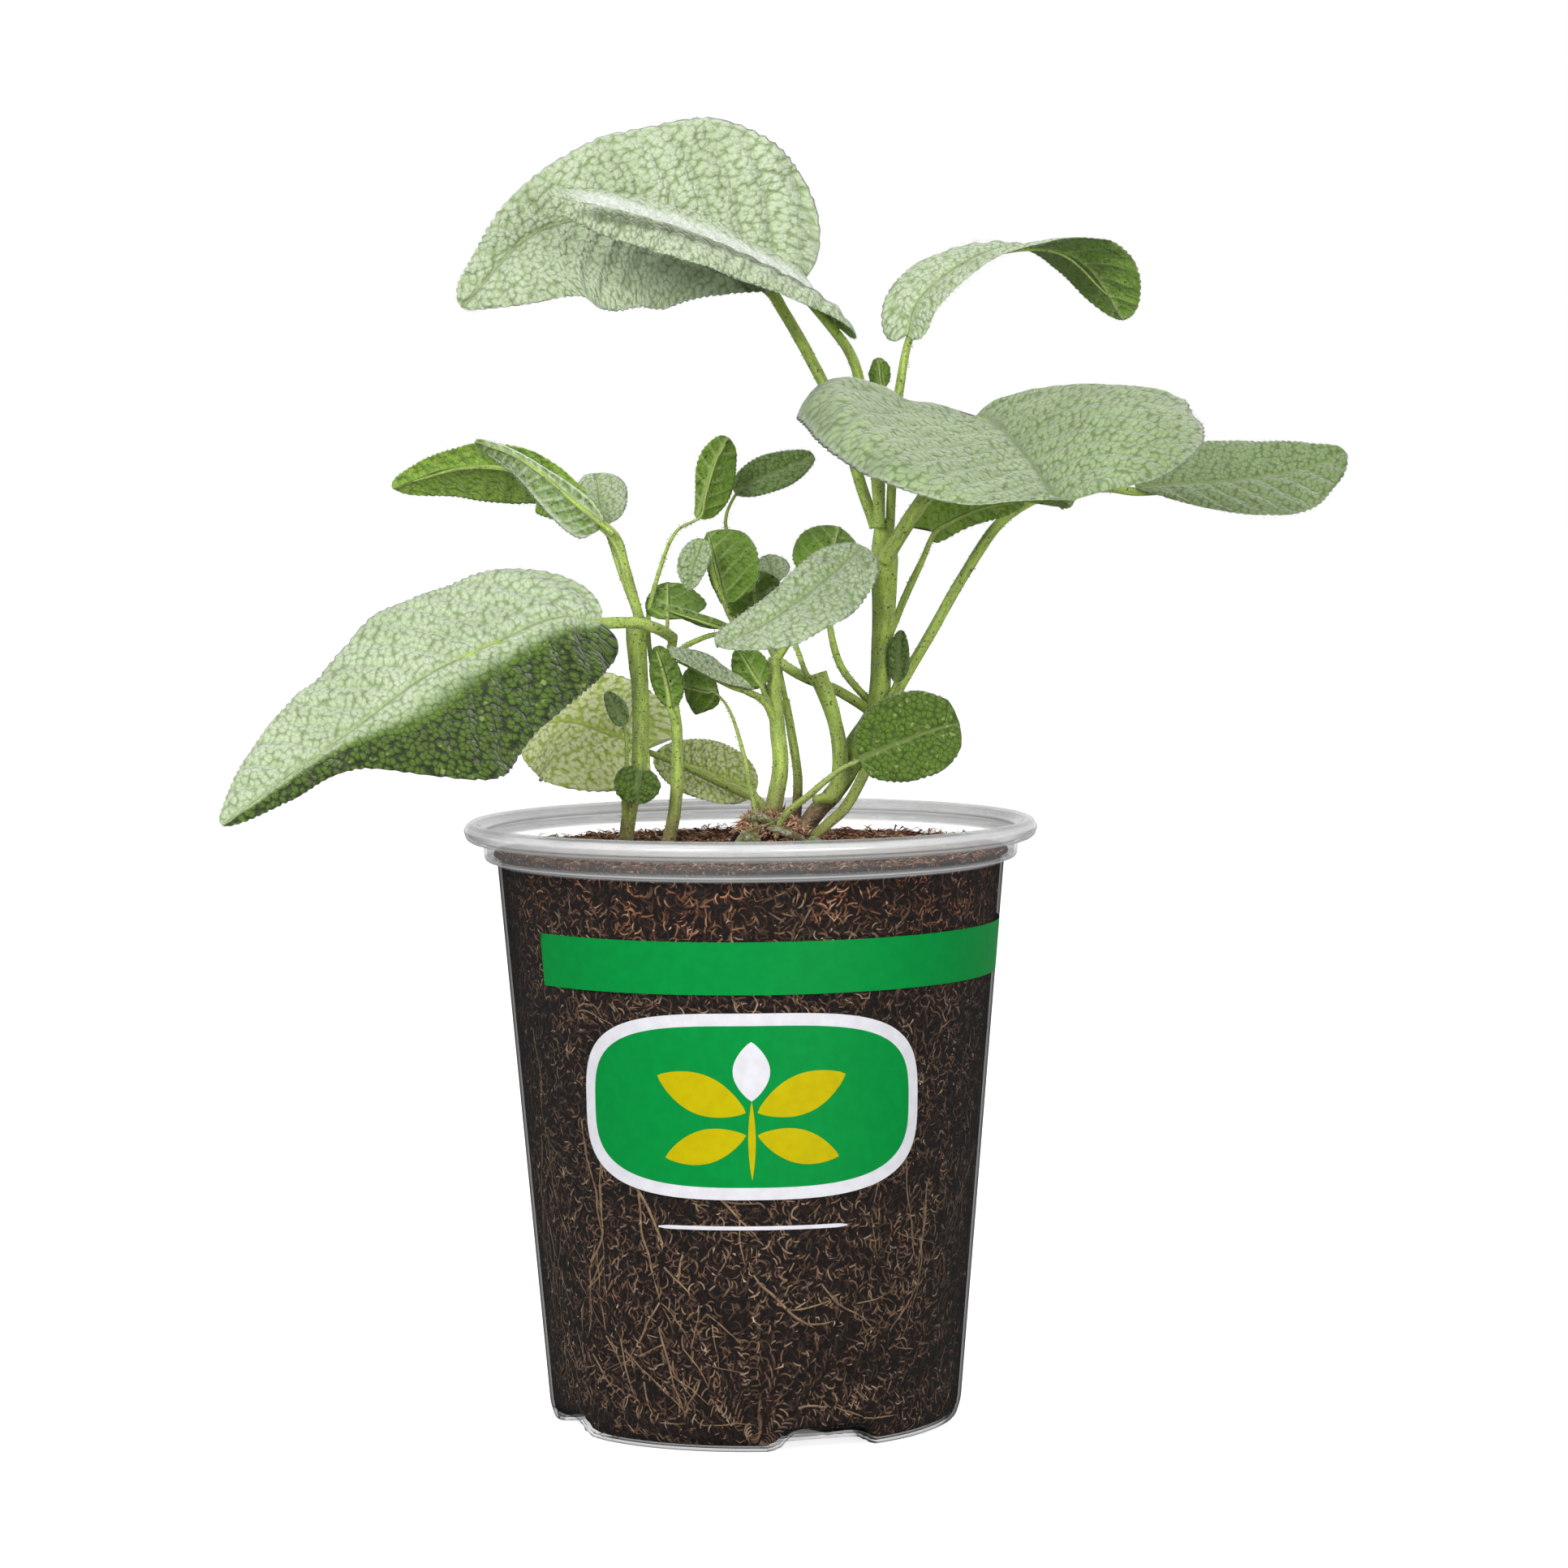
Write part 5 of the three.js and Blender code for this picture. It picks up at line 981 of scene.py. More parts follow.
def clear_plastic(name, colours, edge_tint, gloss, edge_gloss, painted_rings=()):
    """Thin clear sheet: seen through, darker and glossier where it turns away, with a share of milky haze.
    Rings, when given, paint the rim's white reflections and dark refraction lines into it as milky shares,
    each as (height in millimetres, grey, share)."""
    material, w, looks = new_material(name, 0.2)
    haze = w.noise(14, 3, 0.6)
    away = w.add("LayerWeight").outputs["Facing"]
    if painted_rings:
        low, high = painted_rings[0][0], painted_rings[-1][0]
        ramp = w.add("ValToRGB")
        w.join(w.span(w.parts(w.place())[2], low * MM, high * MM, kind="LINEAR"), ramp.inputs[0])
        stops = ramp.color_ramp.elements
        while len(stops) < len(painted_rings):
            stops.new(0.5)
        for stop, (height, grey, alpha) in zip(stops, painted_rings):
            stop.position = (height - low) / (high - low)
            stop.color = (*linear(grey, grey + 1, grey + 1), alpha)
        # Streaks of darker grey and thinner milk along the rings, part of the painted reflections
        streaks = w.noise(5, 4, 0.7, at=w.place(scale=(1, 1, 9)))
        tint = w.mix(w.span(streaks, 0.42, 0.62, 0.0, 0.25), ramp.outputs[0], shaded(colours.plastic, 0.6))
        share = w.times(ramp.outputs[1], w.span(streaks, 0.3, 0.5, 0.75, 1.0))
    else:
        tint = w.mix(w.span(haze, 0.3, 0.7), colours.plastic, shaded(colours.plastic, 0.93))
        share = w.maths("MULTIPLY_ADD", w.maths("POWER", away, 2.0), EDGE_MILK, MILK)
    w.join(tint, looks["Base Color"])
    w.join(w.bump(haze, 0.05), looks["Normal"])
    clear = w.add("BsdfTransparent")
    w.join(w.mix(w.maths("POWER", away, 3.0), (0.99, 0.99, 0.99), edge_tint), clear.inputs[0])
    mirror = w.add("BsdfGlossy")
    mirror.inputs["Color"].default_value = (1, 1, 1, 1)
    mirror.inputs["Roughness"].default_value = 0.05
    mirrored = w.maths("MULTIPLY_ADD", w.maths("POWER", away, 4.0), edge_gloss, gloss)
    sheet = w.mix_shaders(mirrored, clear.outputs[0], mirror.outputs[0])
    out = next(n for n in material.node_tree.nodes if n.type == "OUTPUT_MATERIAL")
    milky = out.inputs[0].links[0].from_socket
    w.join(w.mix_shaders(share, sheet, milky), out.inputs[0])
    return material


def ink(name, colour):
    """Printed ink with a slight unevenness, under the same gloss as the pot."""
    material, w, looks = new_material(name, 0.5, 0.1)
    w.join(w.mix(w.span(w.noise(2.2, 4, 0.6), 0.3, 0.7), colour, shaded(colour, 0.9)), looks["Base Color"])
    w.join(w.bump(w.noise(0.7, 3), 0.01), looks["Normal"])
    return material


# Sizes and colours that a user would change
def length_property(name, description, metres):
    return FloatProperty(name=name, description=description, default=metres, min=0, unit="LENGTH")


def colour_property(name, description, colour):
    return FloatVectorProperty(name=name, description=description, default=colour, subtype="COLOR", size=3,
                               min=0, max=1)


class SageSizes(bpy.types.PropertyGroup):
    pot_height: length_property("Pot height", "Floor to the top of the lip", 0.109)
    lip_radius: length_property("Lip radius", "Outside of the rolled lip", 0.0516)
    band_radius: length_property("Band radius", "Outside of the stacking band", 0.048)
    wall_top: length_property("Wall radius at the top", "Outside of the wall just under the ledge", 0.0456)
    wall_foot: length_property("Wall radius at the foot", "Outside of the wall over the base corner", 0.0372)
    ledge: length_property("Ledge height", "Floor to the ledge under the stacking band", 0.1018)
    wall: length_property("Wall thickness", "Thickness of the clear sheet", 0.0006)
    fibres: IntProperty(name="Fibres on the wall", description="Fibres of potting mix that press on the wall",
                        default=21000, min=1000)
    top_fibres: IntProperty(name="Fibres on top", description="Fibres on the mix's open top",
                            default=9000, min=500)
    hair: length_property("Down length", "Length of the fine hairs on stems and leaf edges", 0.00045)


class SageColours(bpy.types.PropertyGroup):
    leaf_green: colour_property("Leaf green", "Body of a leaf's upper side", linear(147, 173, 104))
    # Crease greens: partly the skin's own colour, partly painted shade; young creases also colour the painted
    # deep shade
    leaf_crease: colour_property("Leaf creases", "Creases between pebbles", linear(106, 136, 60))
    young_green: colour_property("Young leaf green", "Upper side of young leaves", linear(90, 117, 38))
    young_crease: colour_property("Young leaf creases", "Creases of young leaves", linear(58, 80, 20))
    leaf_down: colour_property("Down", "Whitish down on leaves and stems", linear(214, 225, 203))
    under_green: colour_property("Under side", "Under side of leaves and young leaves", linear(96, 132, 30))
    vein: colour_property("Veins", "Raised net and veins", linear(172, 192, 116))
    stem_green: colour_property("Stem green", "Stems and stalks", linear(168, 196, 60))
    stem_bark: colour_property("Woody foot", "Foot of the main stem", linear(120, 88, 56))
    peat: colour_property("Peat", "Dark ground of the potting mix", linear(36, 25, 20))
    fibre: colour_property("Fibres", "Coir fibres in the potting mix", linear(150, 116, 90))
    fibre_red: colour_property("Fresh fibres", "Redder fibres near the top", linear(186, 118, 80))
    root: colour_property("Roots", "Pale roots at the wall", linear(164, 132, 98))
    plastic: colour_property("Clear plastic", "Faint haze of the pot's sheet", linear(225, 228, 230))
    ink_green: colour_property("Green ink", "Printed band and badge", linear(0, 146, 62))
    ink_yellow: colour_property("Yellow ink", "Sprig on the badge", linear(200, 184, 0))
    ink_white: colour_property("White ink", "Border of the badge", linear(232, 232, 238))


def settings():
    """The sizes, and the colours as plain triples."""
    group = bpy.context.scene.sage_colours
    colours = SimpleNamespace(**{key: tuple(getattr(group, key)) for key in SageColours.__annotations__})
    return bpy.context.scene.sage_sizes, colours


# Rings of the rim, painted white reflections and grey refraction lines: height, grey and milkiness, from the
# ledge to the top of the lip
RIM_PAINTED_RINGS = (
    (101.4, 240, 0.08), (101.9, 254, 0.85), (102.3, 254, 0.7), (102.6, 160, 0.3), (103.0, 235, 0.03),
    (104.9, 235, 0.03), (105.3, 252, 0.58), (105.9, 254, 0.58), (106.2, 150, 0.5), (106.5, 250, 0.45),
    (107.4, 254, 0.5), (108.2, 250, 0.45), (108.6, 150, 0.45), (109.0, 250, 0.3))
# Gaps between the feet: middles in degrees round the pot, height, depth, and width at the top and the floor
FOOT_GAPS = (21, 111, 201, 291)
GAP_HEIGHT, GAP_DEPTH, GAP_TOP, GAP_BOTTOM = 3.5, 12, 13.5, 19
GAP_STEP = 0.9
# Height of the base's corner, columns round the pot, and how far the rim's material, with its painted rings,
# starts under the ledge, metres
BASE_CORNER = 3.4
ROUND_COLUMNS = 200
RIM_START = 0.0008


def pot_profile(sizes):
    """The pot's outside, as (radius, height) from the middle of the base to the lip's inner edge."""
    foot, top, ledge = (getattr(sizes, key) / MM for key in ("wall_foot", "wall_top", "ledge"))
    band, lip, height = (getattr(sizes, key) / MM for key in ("band_radius", "lip_radius", "pot_height"))
    corners = [
        (0, 0, 0), (foot - 2.6, 0, 0), (foot - 0.9, 0.7, 0.8), (foot, BASE_CORNER, 1.0),
        (top, ledge - 0.5, 0), (top + 0.2, ledge, 0.3),
        (band - 0.3, ledge + 0.3, 0.3), (band, ledge + 0.9, 0.3),
        (band + 0.1, ledge + 3.0, 0.2), (band + 0.5, ledge + 3.4, 0.3),
        (lip - 1.0, ledge + 3.7, 0.4), (lip - 0.3, ledge + 4.3, 0.3), (lip - 0.1, ledge + 5.1, 0.2),
        (lip, ledge + 5.3, 0.15), (lip, height - 1.4, 0.3), (lip - 0.7, height - 0.3, 0.5),
        (lip - 1.5, height, 0.4), (lip - 2.5, height - 0.4, 0.3), (band + 0.4, height - 1.4, 0.3),
        (band - 0.2, height - 1.5, 0)]
    out = []
    for k, (r, z, soft) in enumerate(corners):
        if not soft:
            out.append((r, z))
            continue
        before, here, after = (np.array(corner[:2]) for corner in corners[k - 1:k + 2])
        ways = before - here, after - here
        a, b = (here + unit(way) * min(soft, np.linalg.norm(way) * 0.45) for way in ways)
        for t in (0, 0.33, 0.67, 1):
            out.append(tuple((1 - t) ** 2 * a + 2 * t * (1 - t) * here + t * t * b))
    return np.array(out)


def wall_radius(sizes, z):
    """Outside radius of the plain wall at a height in millimetres."""
    share = np.clip((z - BASE_CORNER) / (sizes.ledge / MM - BASE_CORNER), 0, 1)
    return sizes.wall_foot / MM + (sizes.wall_top - sizes.wall_foot) / MM * share


def facing(angle, radius, z):
    """A place round the pot: angle 0 faces the viewer and grows to their right."""
    return np.stack([radius * np.sin(angle), -radius * np.cos(angle), z + 0 * angle], -1)


def gap_rise(sizes, r, angle, margin=0.0):
    """How far the base is raised over the floor by the gaps between its feet."""
    raised = np.zeros(np.shape(r))
    inner_end = sizes.wall_foot / MM - GAP_DEPTH
    for middle in FOOT_GAPS:
        across = np.mod(angle - math.radians(middle) + math.pi, 2 * math.pi) - math.pi
        sideways = np.abs(r * np.sin(across)) - margin
        slope = np.clip((GAP_BOTTOM / 2 - sideways) / ((GAP_BOTTOM - GAP_TOP) / 2), 0, 1)
        inward = np.clip((r * np.cos(across) - inner_end + margin) / GAP_STEP, 0, 1)
        raised = np.maximum(raised, GAP_HEIGHT * slope * inward * (np.cos(across) > 0))
    return raised


class SAGE_OT_pot(bpy.types.Operator):
    """Build the clear pot: one revolved sheet with gaps between its feet"""

    bl_idname = "sage.pot"
    bl_label = "Clear pot"

    def execute(self, context):
        sizes, colours = settings()
        profile = pot_profile(sizes)
        run = run_along(profile)
        finer = (np.arange(24, 34, 0.5), np.arange(0, 36, 4), np.linspace(40, 134, 20))
        stops = np.unique(np.round(np.concatenate([run, *finer]), 3))
        stops = stops[stops <= run[-1]]
        bm = bmesh.new()
        verts, a, b = grid(bm, ROUND_COLUMNS, len(stops) - 1)
        at = np.interp(b * (len(stops) - 1), np.arange(len(stops)), stops)
        r, z = np.interp(at, run, profile[:, 0]), np.interp(at, run, profile[:, 1])
        angle = 2 * math.pi * a
        place(verts, facing(angle, r, np.maximum(z, gap_rise(sizes, r, angle))))
        bmesh.ops.remove_doubles(bm, verts=bm.verts[:], dist=2e-6)
        bmesh.ops.recalc_face_normals(bm, faces=bm.faces[:])
        for face in bm.faces:
            face.material_index = int(face.calc_center_median().z > sizes.ledge - RIM_START)
        # The wall's dark brown edge tint paints the soil seen bent through the sheet where it turns away
        looks = [clear_plastic("clear pot plastic", colours, (0.02, 0.015, 0.01), 0.006, 0.03),
                 clear_plastic("clear pot rim", colours, (0.93, 0.94, 0.94), 0.08, 0.3, RIM_PAINTED_RINGS)]
        pot = finish_piece("clear_pot", bm, looks, ("pot",))
        sheet = pot.modifiers.new("sheet", "SOLIDIFY")
        sheet.thickness = sizes.wall
        sheet.offset = -1
        return {"FINISHED"}


# The print: degrees that the band spans round the pot, heights up the wall, and how proud each layer stands
BAND_FROM, BAND_TO, BAND_HEIGHT, BAND_HALF = -56, 236, 86.35, 4.65
BADGE_HEIGHT, SPRIG_HEIGHT, LINE_HEIGHT = 62, 61, 40.5
FIRST_INK, BAND_INK, PANEL_INK, SPRIG_INK = 0.05, 0.06, 0.11, 0.17
INK_HALF = 0.02
# The sprig's leaves: stalk end across and up, length, width and turn in degrees
SPRIG = ((-1, 0, 17, 7, 158), (1, 0, 17, 7, 22), (-1, -4, 15, 6, 196), (1, -4, 15, 6, -16),
         (0, 2, 10.5, 6.5, 90))
SPRIG_STALK = (0, -12, 14, 1.3, 90)


def printed(name, material, sizes, outline, height, proud, rows, columns, angle=0):
    """A patch of ink on the wall. outline bends a square from -1 to 1 into the patch, in millimetres."""
    bm = bmesh.new()
    for sign in (1, -1):
        verts, a, b = grid(bm, columns, rows)
        across, up = outline(a * 2 - 1, b * 2 - 1)
        z = height + up
        radius = wall_radius(sizes, z)
        inside = (np.abs(a - 0.5) < 0.4999) & (np.abs(b - 0.5) < 0.4999)
        lifted = proud + np.where(inside, sign * INK_HALF, 0)
        place(verts, facing(math.radians(angle) + across / radius, radius + lifted, z))
        if sign < 0:
            bm.faces.ensure_lookup_table()
            bmesh.ops.reverse_faces(bm, faces=bm.faces[rows * columns:])
    bmesh.ops.remove_doubles(bm, verts=bm.verts[:], dist=1e-7)
    bmesh.ops.recalc_face_normals(bm, faces=bm.faces[:])
    for edge in bm.edges:
        edge.smooth = edge.calc_face_angle(math.pi) < 0.5
    finish_piece(name, bm, [material])


def rounded(width, height, power):
    """A panel with round corners."""
    def outline(a, b):
        square = np.maximum(np.abs(a), np.abs(b))
        reach = square / np.maximum((np.abs(a) ** power + np.abs(b) ** power) ** (1 / power), 1e-9)
        return a * reach * width / 2, b * reach * height / 2
    return outline


def leaf_outline(x, y, length, width, turn):
    """A plain pointed oval, its stalk end at x, y."""
    c, s = math.cos(math.radians(turn)), math.sin(math.radians(turn))

    def outline(a, b):
        along = (a + 1) / 2 * length
        side = b * width / 2 * np.sin(math.pi * (a + 1) / 2) ** 0.8
        return x + along * c - side * s, y + along * s + side * c
    return outline


class SAGE_OT_print(bpy.types.Operator):
    """Lay the printed band and a plain sprig badge on the wall"""

    bl_idname = "sage.print"
    bl_label = "Printed band and badge"

    def execute(self, context):
        sizes, colours = settings()
        green = ink("green ink", colours.ink_green)
        white = ink("white ink", colours.ink_white)
        yellow = ink("yellow ink", colours.ink_yellow)
        sweep = math.radians(BAND_TO - BAND_FROM)

        def band(a, b):
            return a * sweep / 2 * wall_radius(sizes, BAND_HEIGHT + b * BAND_HALF), b * BAND_HALF

        middle = (BAND_FROM + BAND_TO) / 2
        border, panel, line = rounded(64, 33, 3.2), rounded(59.6, 28.6, 3.2), rounded(34, 0.7, 8)
        printed("printed_band", green, sizes, band, BAND_HEIGHT, BAND_INK, 6, 240, middle)
        printed("badge_border", white, sizes, border, BADGE_HEIGHT, FIRST_INK, 24, 48)
        printed("badge_panel", green, sizes, panel, BADGE_HEIGHT, PANEL_INK, 24, 48)
        for k, shape in enumerate(SPRIG):
            colour = white if shape is SPRIG[-1] else yellow
            leaf = leaf_outline(*shape)
            printed(f"badge_leaf_{k + 1}", colour, sizes, leaf, SPRIG_HEIGHT, SPRIG_INK, 8, 24)
        printed("badge_stalk", yellow, sizes, leaf_outline(*SPRIG_STALK), SPRIG_HEIGHT, SPRIG_INK, 4, 16)
        printed("rule_line", white, sizes, line, LINE_HEIGHT, FIRST_INK, 3, 30)
        return {"FINISHED"}


# Potting mix: outline from the middle of the base to that of the top, as share of rows, radius and height
MIX_OUTLINE = ((0, 0, 0.9), (0.02, 24, 0.9), (0.06, 33.9, 0.9), (0.075, 35.7, 1.6), (0.09, 36.55, 3.6),
               (0.62, 44.96, 102.3), (0.64, 46.5, 103), (0.66, 46.2, 103.5), (1, 0, 103.5))
MIX_ROWS = 130
WALL_SHARE, TOP_SHARE = 0.09, 0.659
# The open top, its edge under the stacking band, and the raised crown round the stems
TOP_HEIGHT, TOP_EDGE, TOP_EDGE_RADIUS = 103.1, 103.5, 43.5
CROWN_X, CROWN_Y, CROWN_RADIUS, CROWN_RISE = 3.6, -3, 10, 5.8
# Fibres: how far inside the wall they lie, the heights and the radius on top that they keep within
WALL_INSET = 0.63
FIBRE_FLOOR, FIBRE_TOP, FIBRE_REACH = 1.0, 102.6, 46.3
CROWN_FIBRES = 1500
UP = np.array([0, 0, 1.0])


def mix_top(x, y):
    """Height of the potting mix's top."""
    d = np.hypot(x - CROWN_X, (y - CROWN_Y) * 1.1) / CROWN_RADIUS
    uneven = 1 + 0.12 * np.sin(1.9 * x + 1.3 * y)
    crown = np.where(d < 1, CROWN_RISE * (1 - np.minimum(d, 1) ** 2.4) ** 1.5 * uneven, 0)
    broad = 0.35 * np.sin(0.43 * x + 1.7) * np.cos(0.37 * y)
    return TOP_HEIGHT + crown + broad + 0.22 * np.sin(1.1 * x - 0.9 * y)


def spindles(name, material, strands):
    """Many thin bent strands in one mesh, each from its beginning, middle, end, half width and marks."""
    begin, middle, end, half, marks = strands
    bm = marked_mesh(*marks)
    rows = 3 * len(begin) - 1
    verts, a, b = grid(bm, 3, rows)
    row = np.round(b * rows).astype(int)
    which, station = row // 3, row % 3
    turn = 2 * math.pi * np.round(a * 3) / 3
    way = unit(end - begin)
    side = unit(np.cross(way, np.array([0.31, 0.52, 0.79])))
    other = np.cross(way, side)
    ring = middle[which] + half[which, None] * (
        np.cos(turn)[:, None] * side[which] + np.sin(turn)[:, None] * other[which])
    spots = np.where((station == 2)[:, None], end[which], ring)
    spots = np.where((station == 0)[:, None], begin[which], spots)
    for key, values in marks.items():
        write(bm, verts, key, values[which])
    order = {vert: r for vert, r in zip(verts, row.tolist())}
    links = [f for f in bm.faces if {order[v] % 3 for v in f.verts} == {0, 2}]
    bmesh.ops.delete(bm, geom=links, context="FACES_ONLY")
    place(verts, spots)
    bmesh.ops.remove_doubles(bm, verts=bm.verts[:], dist=1e-7)
    loose = [e for e in bm.edges if not e.link_faces]
    bmesh.ops.delete(bm, geom=loose, context="EDGES")
    bmesh.ops.recalc_face_normals(bm, faces=bm.faces[:])
    finish_piece(name, bm, [material])


def wall_lumps(angle, z):
    """Unevenness of the mix at the wall, from 0 to 1."""
    return value_noise(angle * 9.55 / 2, z / 4, 5) * 0.6 + value_noise(angle * 9.55, z / 1.7, 6) * 0.4


def wall_fibres(sizes, count):
    """Fibres that lie along the wall, in swirls, redder near the top in front."""
    rng = np.random.default_rng(11)
    z = 1.5 + 100.5 * rng.random(count)
    angle = 2 * math.pi * rng.random(count)
    floor = gap_rise(sizes, wall_radius(sizes, z), angle, 1.5)
    z = np.where((z < floor + 1.6) & (floor > 0), z + 6, z)
    radius = wall_radius(sizes, np.maximum(z, BASE_CORNER)) - WALL_INSET - 0.05 - 0.35 * rng.random(count)
    radius -= np.clip(BASE_CORNER - z, 0, 3) * 0.55
    length = rng.gamma(2.2, 0.7, count) + 0.8
    tilt = rng.normal(0, 0.75, count) + 1.6 * (value_noise(angle * 4 + 9, z / 14, 21) - 0.5) * math.pi
    middle = facing(angle, radius, z)
    round_way = facing(angle + math.pi / 2, 1.0, 0 * z)
    out = facing(angle, 1.0, 0 * z)
    way = round_way * np.cos(tilt)[:, None] + UP * np.sin(tilt)[:, None]
    way = way + out * rng.normal(0, 0.1, count)[:, None]
    reach = way * (length / 2)[:, None]
    bend = unit(np.cross(way, out)) * (rng.normal(0, 0.24, count) * length)[:, None]
    begin, end = middle - reach - out * 0.25, middle + reach - out * 0.25
    for tip in (begin, end):
        tip[:, 2] = np.clip(tip[:, 2], FIBRE_FLOOR, FIBRE_TOP)
    half = 0.08 + 0.13 * rng.random(count) ** 1.5
    warm = np.exp(-np.maximum(102 - z, 0) / 9) * (value_noise(angle * 5 + 3, z / 9, 31) > 0.3)
    front = np.clip(np.cos(angle - 0.15) * 1.2, 0, 1)
    tone = rng.beta(1.0, 1.5, count)
    warmth = np.clip(warm * (0.35 + 0.65 * front) * 1.15 + 0.12 * rng.random(count), 0, 1)
    return begin, middle + bend, end, half, dict(tone=tone, warmth=warmth)


def top_fibres(count):
    """Fibres strewn over the open top."""
    rng = np.random.default_rng(12)
    radius = 45.2 * np.sqrt(rng.random(count))
    angle = 2 * math.pi * rng.random(count)
    x, y = radius * np.sin(angle), -radius * np.cos(angle)
    length = rng.gamma(3.0, 0.6, count) + 0.7
    turn = 2 * math.pi * rng.random(count)
    way = np.stack([np.cos(turn), np.sin(turn), rng.normal(0, 0.3, count)], -1)
    middle = np.stack([x, y, mix_top(x, y) + 0.45 * rng.random(count)], -1)
    reach = way * (length / 2)[:, None]
    bend = UP * (rng.normal(0.05, 0.12, count) * length)[:, None]
    begin, end = middle - reach, middle + reach
    for tip in (begin, end):
        tip[:, :2] *= np.minimum(1, FIBRE_REACH / np.maximum(np.hypot(tip[:, 0], tip[:, 1]), 1))[:, None]
    half = 0.08 + 0.15 * rng.random(count) ** 2
    tone = rng.random(count)
    warmth = np.clip(0.55 + 0.4 * rng.normal(0, 0.6, count), 0, 1)
    return begin, middle + bend, end, half, dict(tone=tone, warmth=warmth)


def crown_fibres(count):
    """Paler fibres heaped round the stems' feet."""
    rng = np.random.default_rng(13)
    away, turn = 6.6 * np.sqrt(rng.random(count)), 2 * math.pi * rng.random(count)
    x, y = 3.8 + away * np.cos(turn), -3.2 + 0.85 * away * np.sin(turn)
    middle = np.stack([x, y, mix_top(x, y) + 0.2 + 1.3 * rng.random(count) ** 2], -1)
    way = unit(rng.normal(0, 1, (count, 3)) * (1, 0.6, 0.8))
    length = 0.9 + rng.gamma(2.0, 0.6, count)
    bend = unit(rng.normal(0, 1, (count, 3))) * (0.15 * length)[:, None]
    reach = way * (length / 2)[:, None]
    tone = rng.beta(2.6, 0.9, count)
    warmth = 0.1 + 0.5 * rng.random(count)
    half = 0.1 + 0.12 * rng.random(count)
    return middle - reach, middle + bend, middle + reach, half, dict(tone=tone, warmth=warmth)


class SAGE_OT_mix(bpy.types.Operator):
    """Fill the pot with potting mix: dark ground, fibres at the wall and on top"""

    bl_idname = "sage.mix"
    bl_label = "Potting mix"

    def execute(self, context):
        sizes, colours = settings()
        bm = bmesh.new()
        verts, a, b = grid(bm, ROUND_COLUMNS, MIX_ROWS)
        angle = 2 * math.pi * a
        share, stops_r, stops_z = np.array(MIX_OUTLINE).T
        r, z = np.interp(b, share, stops_r), np.interp(b, share, stops_z)
        on_top = b > TOP_SHARE
        at_wall = (b >= WALL_SHARE) & ~on_top
        x, y = r * np.sin(angle), -r * np.cos(angle)
        r = np.where(at_wall, r - 0.2 * wall_lumps(np.where(a > 0.995, 0, angle), z), r)
        large, fine = value_noise(x / 1.6 + 60, y / 1.6 + 60, 7), value_noise(x / 0.7 + 90, y / 0.7 + 90, 8)
        crumbs = large + 0.6 * fine - 0.8
        top = mix_top(x, y)
        top = np.where(r > TOP_EDGE_RADIUS, np.minimum(top, TOP_EDGE), top) + 0.7 * crumbs * (r < 45)
        z = np.where(on_top, top, z)
        floor = gap_rise(sizes, r, angle, 0.7)
        z = np.where(floor > 0, np.maximum(z, floor + 0.9), z)
        place(verts, facing(angle, r, z))
        bmesh.ops.remove_doubles(bm, verts=bm.verts[:], dist=5e-5)
        bmesh.ops.recalc_face_normals(bm, faces=bm.faces[:])
        finish_piece("potting_mix_ground", bm, [mix_ground(colours)], ("potting_mix",))
        fibre = fibre_look(colours)
        spindles("crown_fibres", fibre, crown_fibres(CROWN_FIBRES))
        spindles("wall_fibres", fibre, wall_fibres(sizes, sizes.fibres))
        spindles("top_fibres", fibre, top_fibres(sizes.top_fibres))
        return {"FINISHED"}


# Roots in front: degrees round the pot, height, heading in radians over level, length and radius
FRONT_ROOTS = (
    (-36, 60, -1.6, 52, 0.42), (-41, 52, -1.5, 46, 0.48), (-30, 46, -1.4, 34, 0.3), (-47, 58, -1.6, 50, 0.34),
    (-14, 50, -1.1, 22, 0.3), (-18, 36, -1.9, 18, 0.26), (0, 32, -0.9, 26, 0.36), (40, 56, -1.3, 30, 0.24),
    (28, 58, -1.1, 24, 0.2), (18, 30, -1.0, 20, 0.22), (-44, 78, -0.2, 12, 0.14), (12, 8, 0.2, 9, 0.4),
    (50, 46, -1.6, 32, 0.26))
# The rest: their number, a root's step and how far it lies inside the wall, and the heights it keeps within
BACK_ROOTS = 30
ROOT_STEP, ROOT_INSET = 2.2, 0.66
ROOT_FLOOR, ROOT_TOP = 5.0, 100.5
BRANCH_CHANCE = 0.22


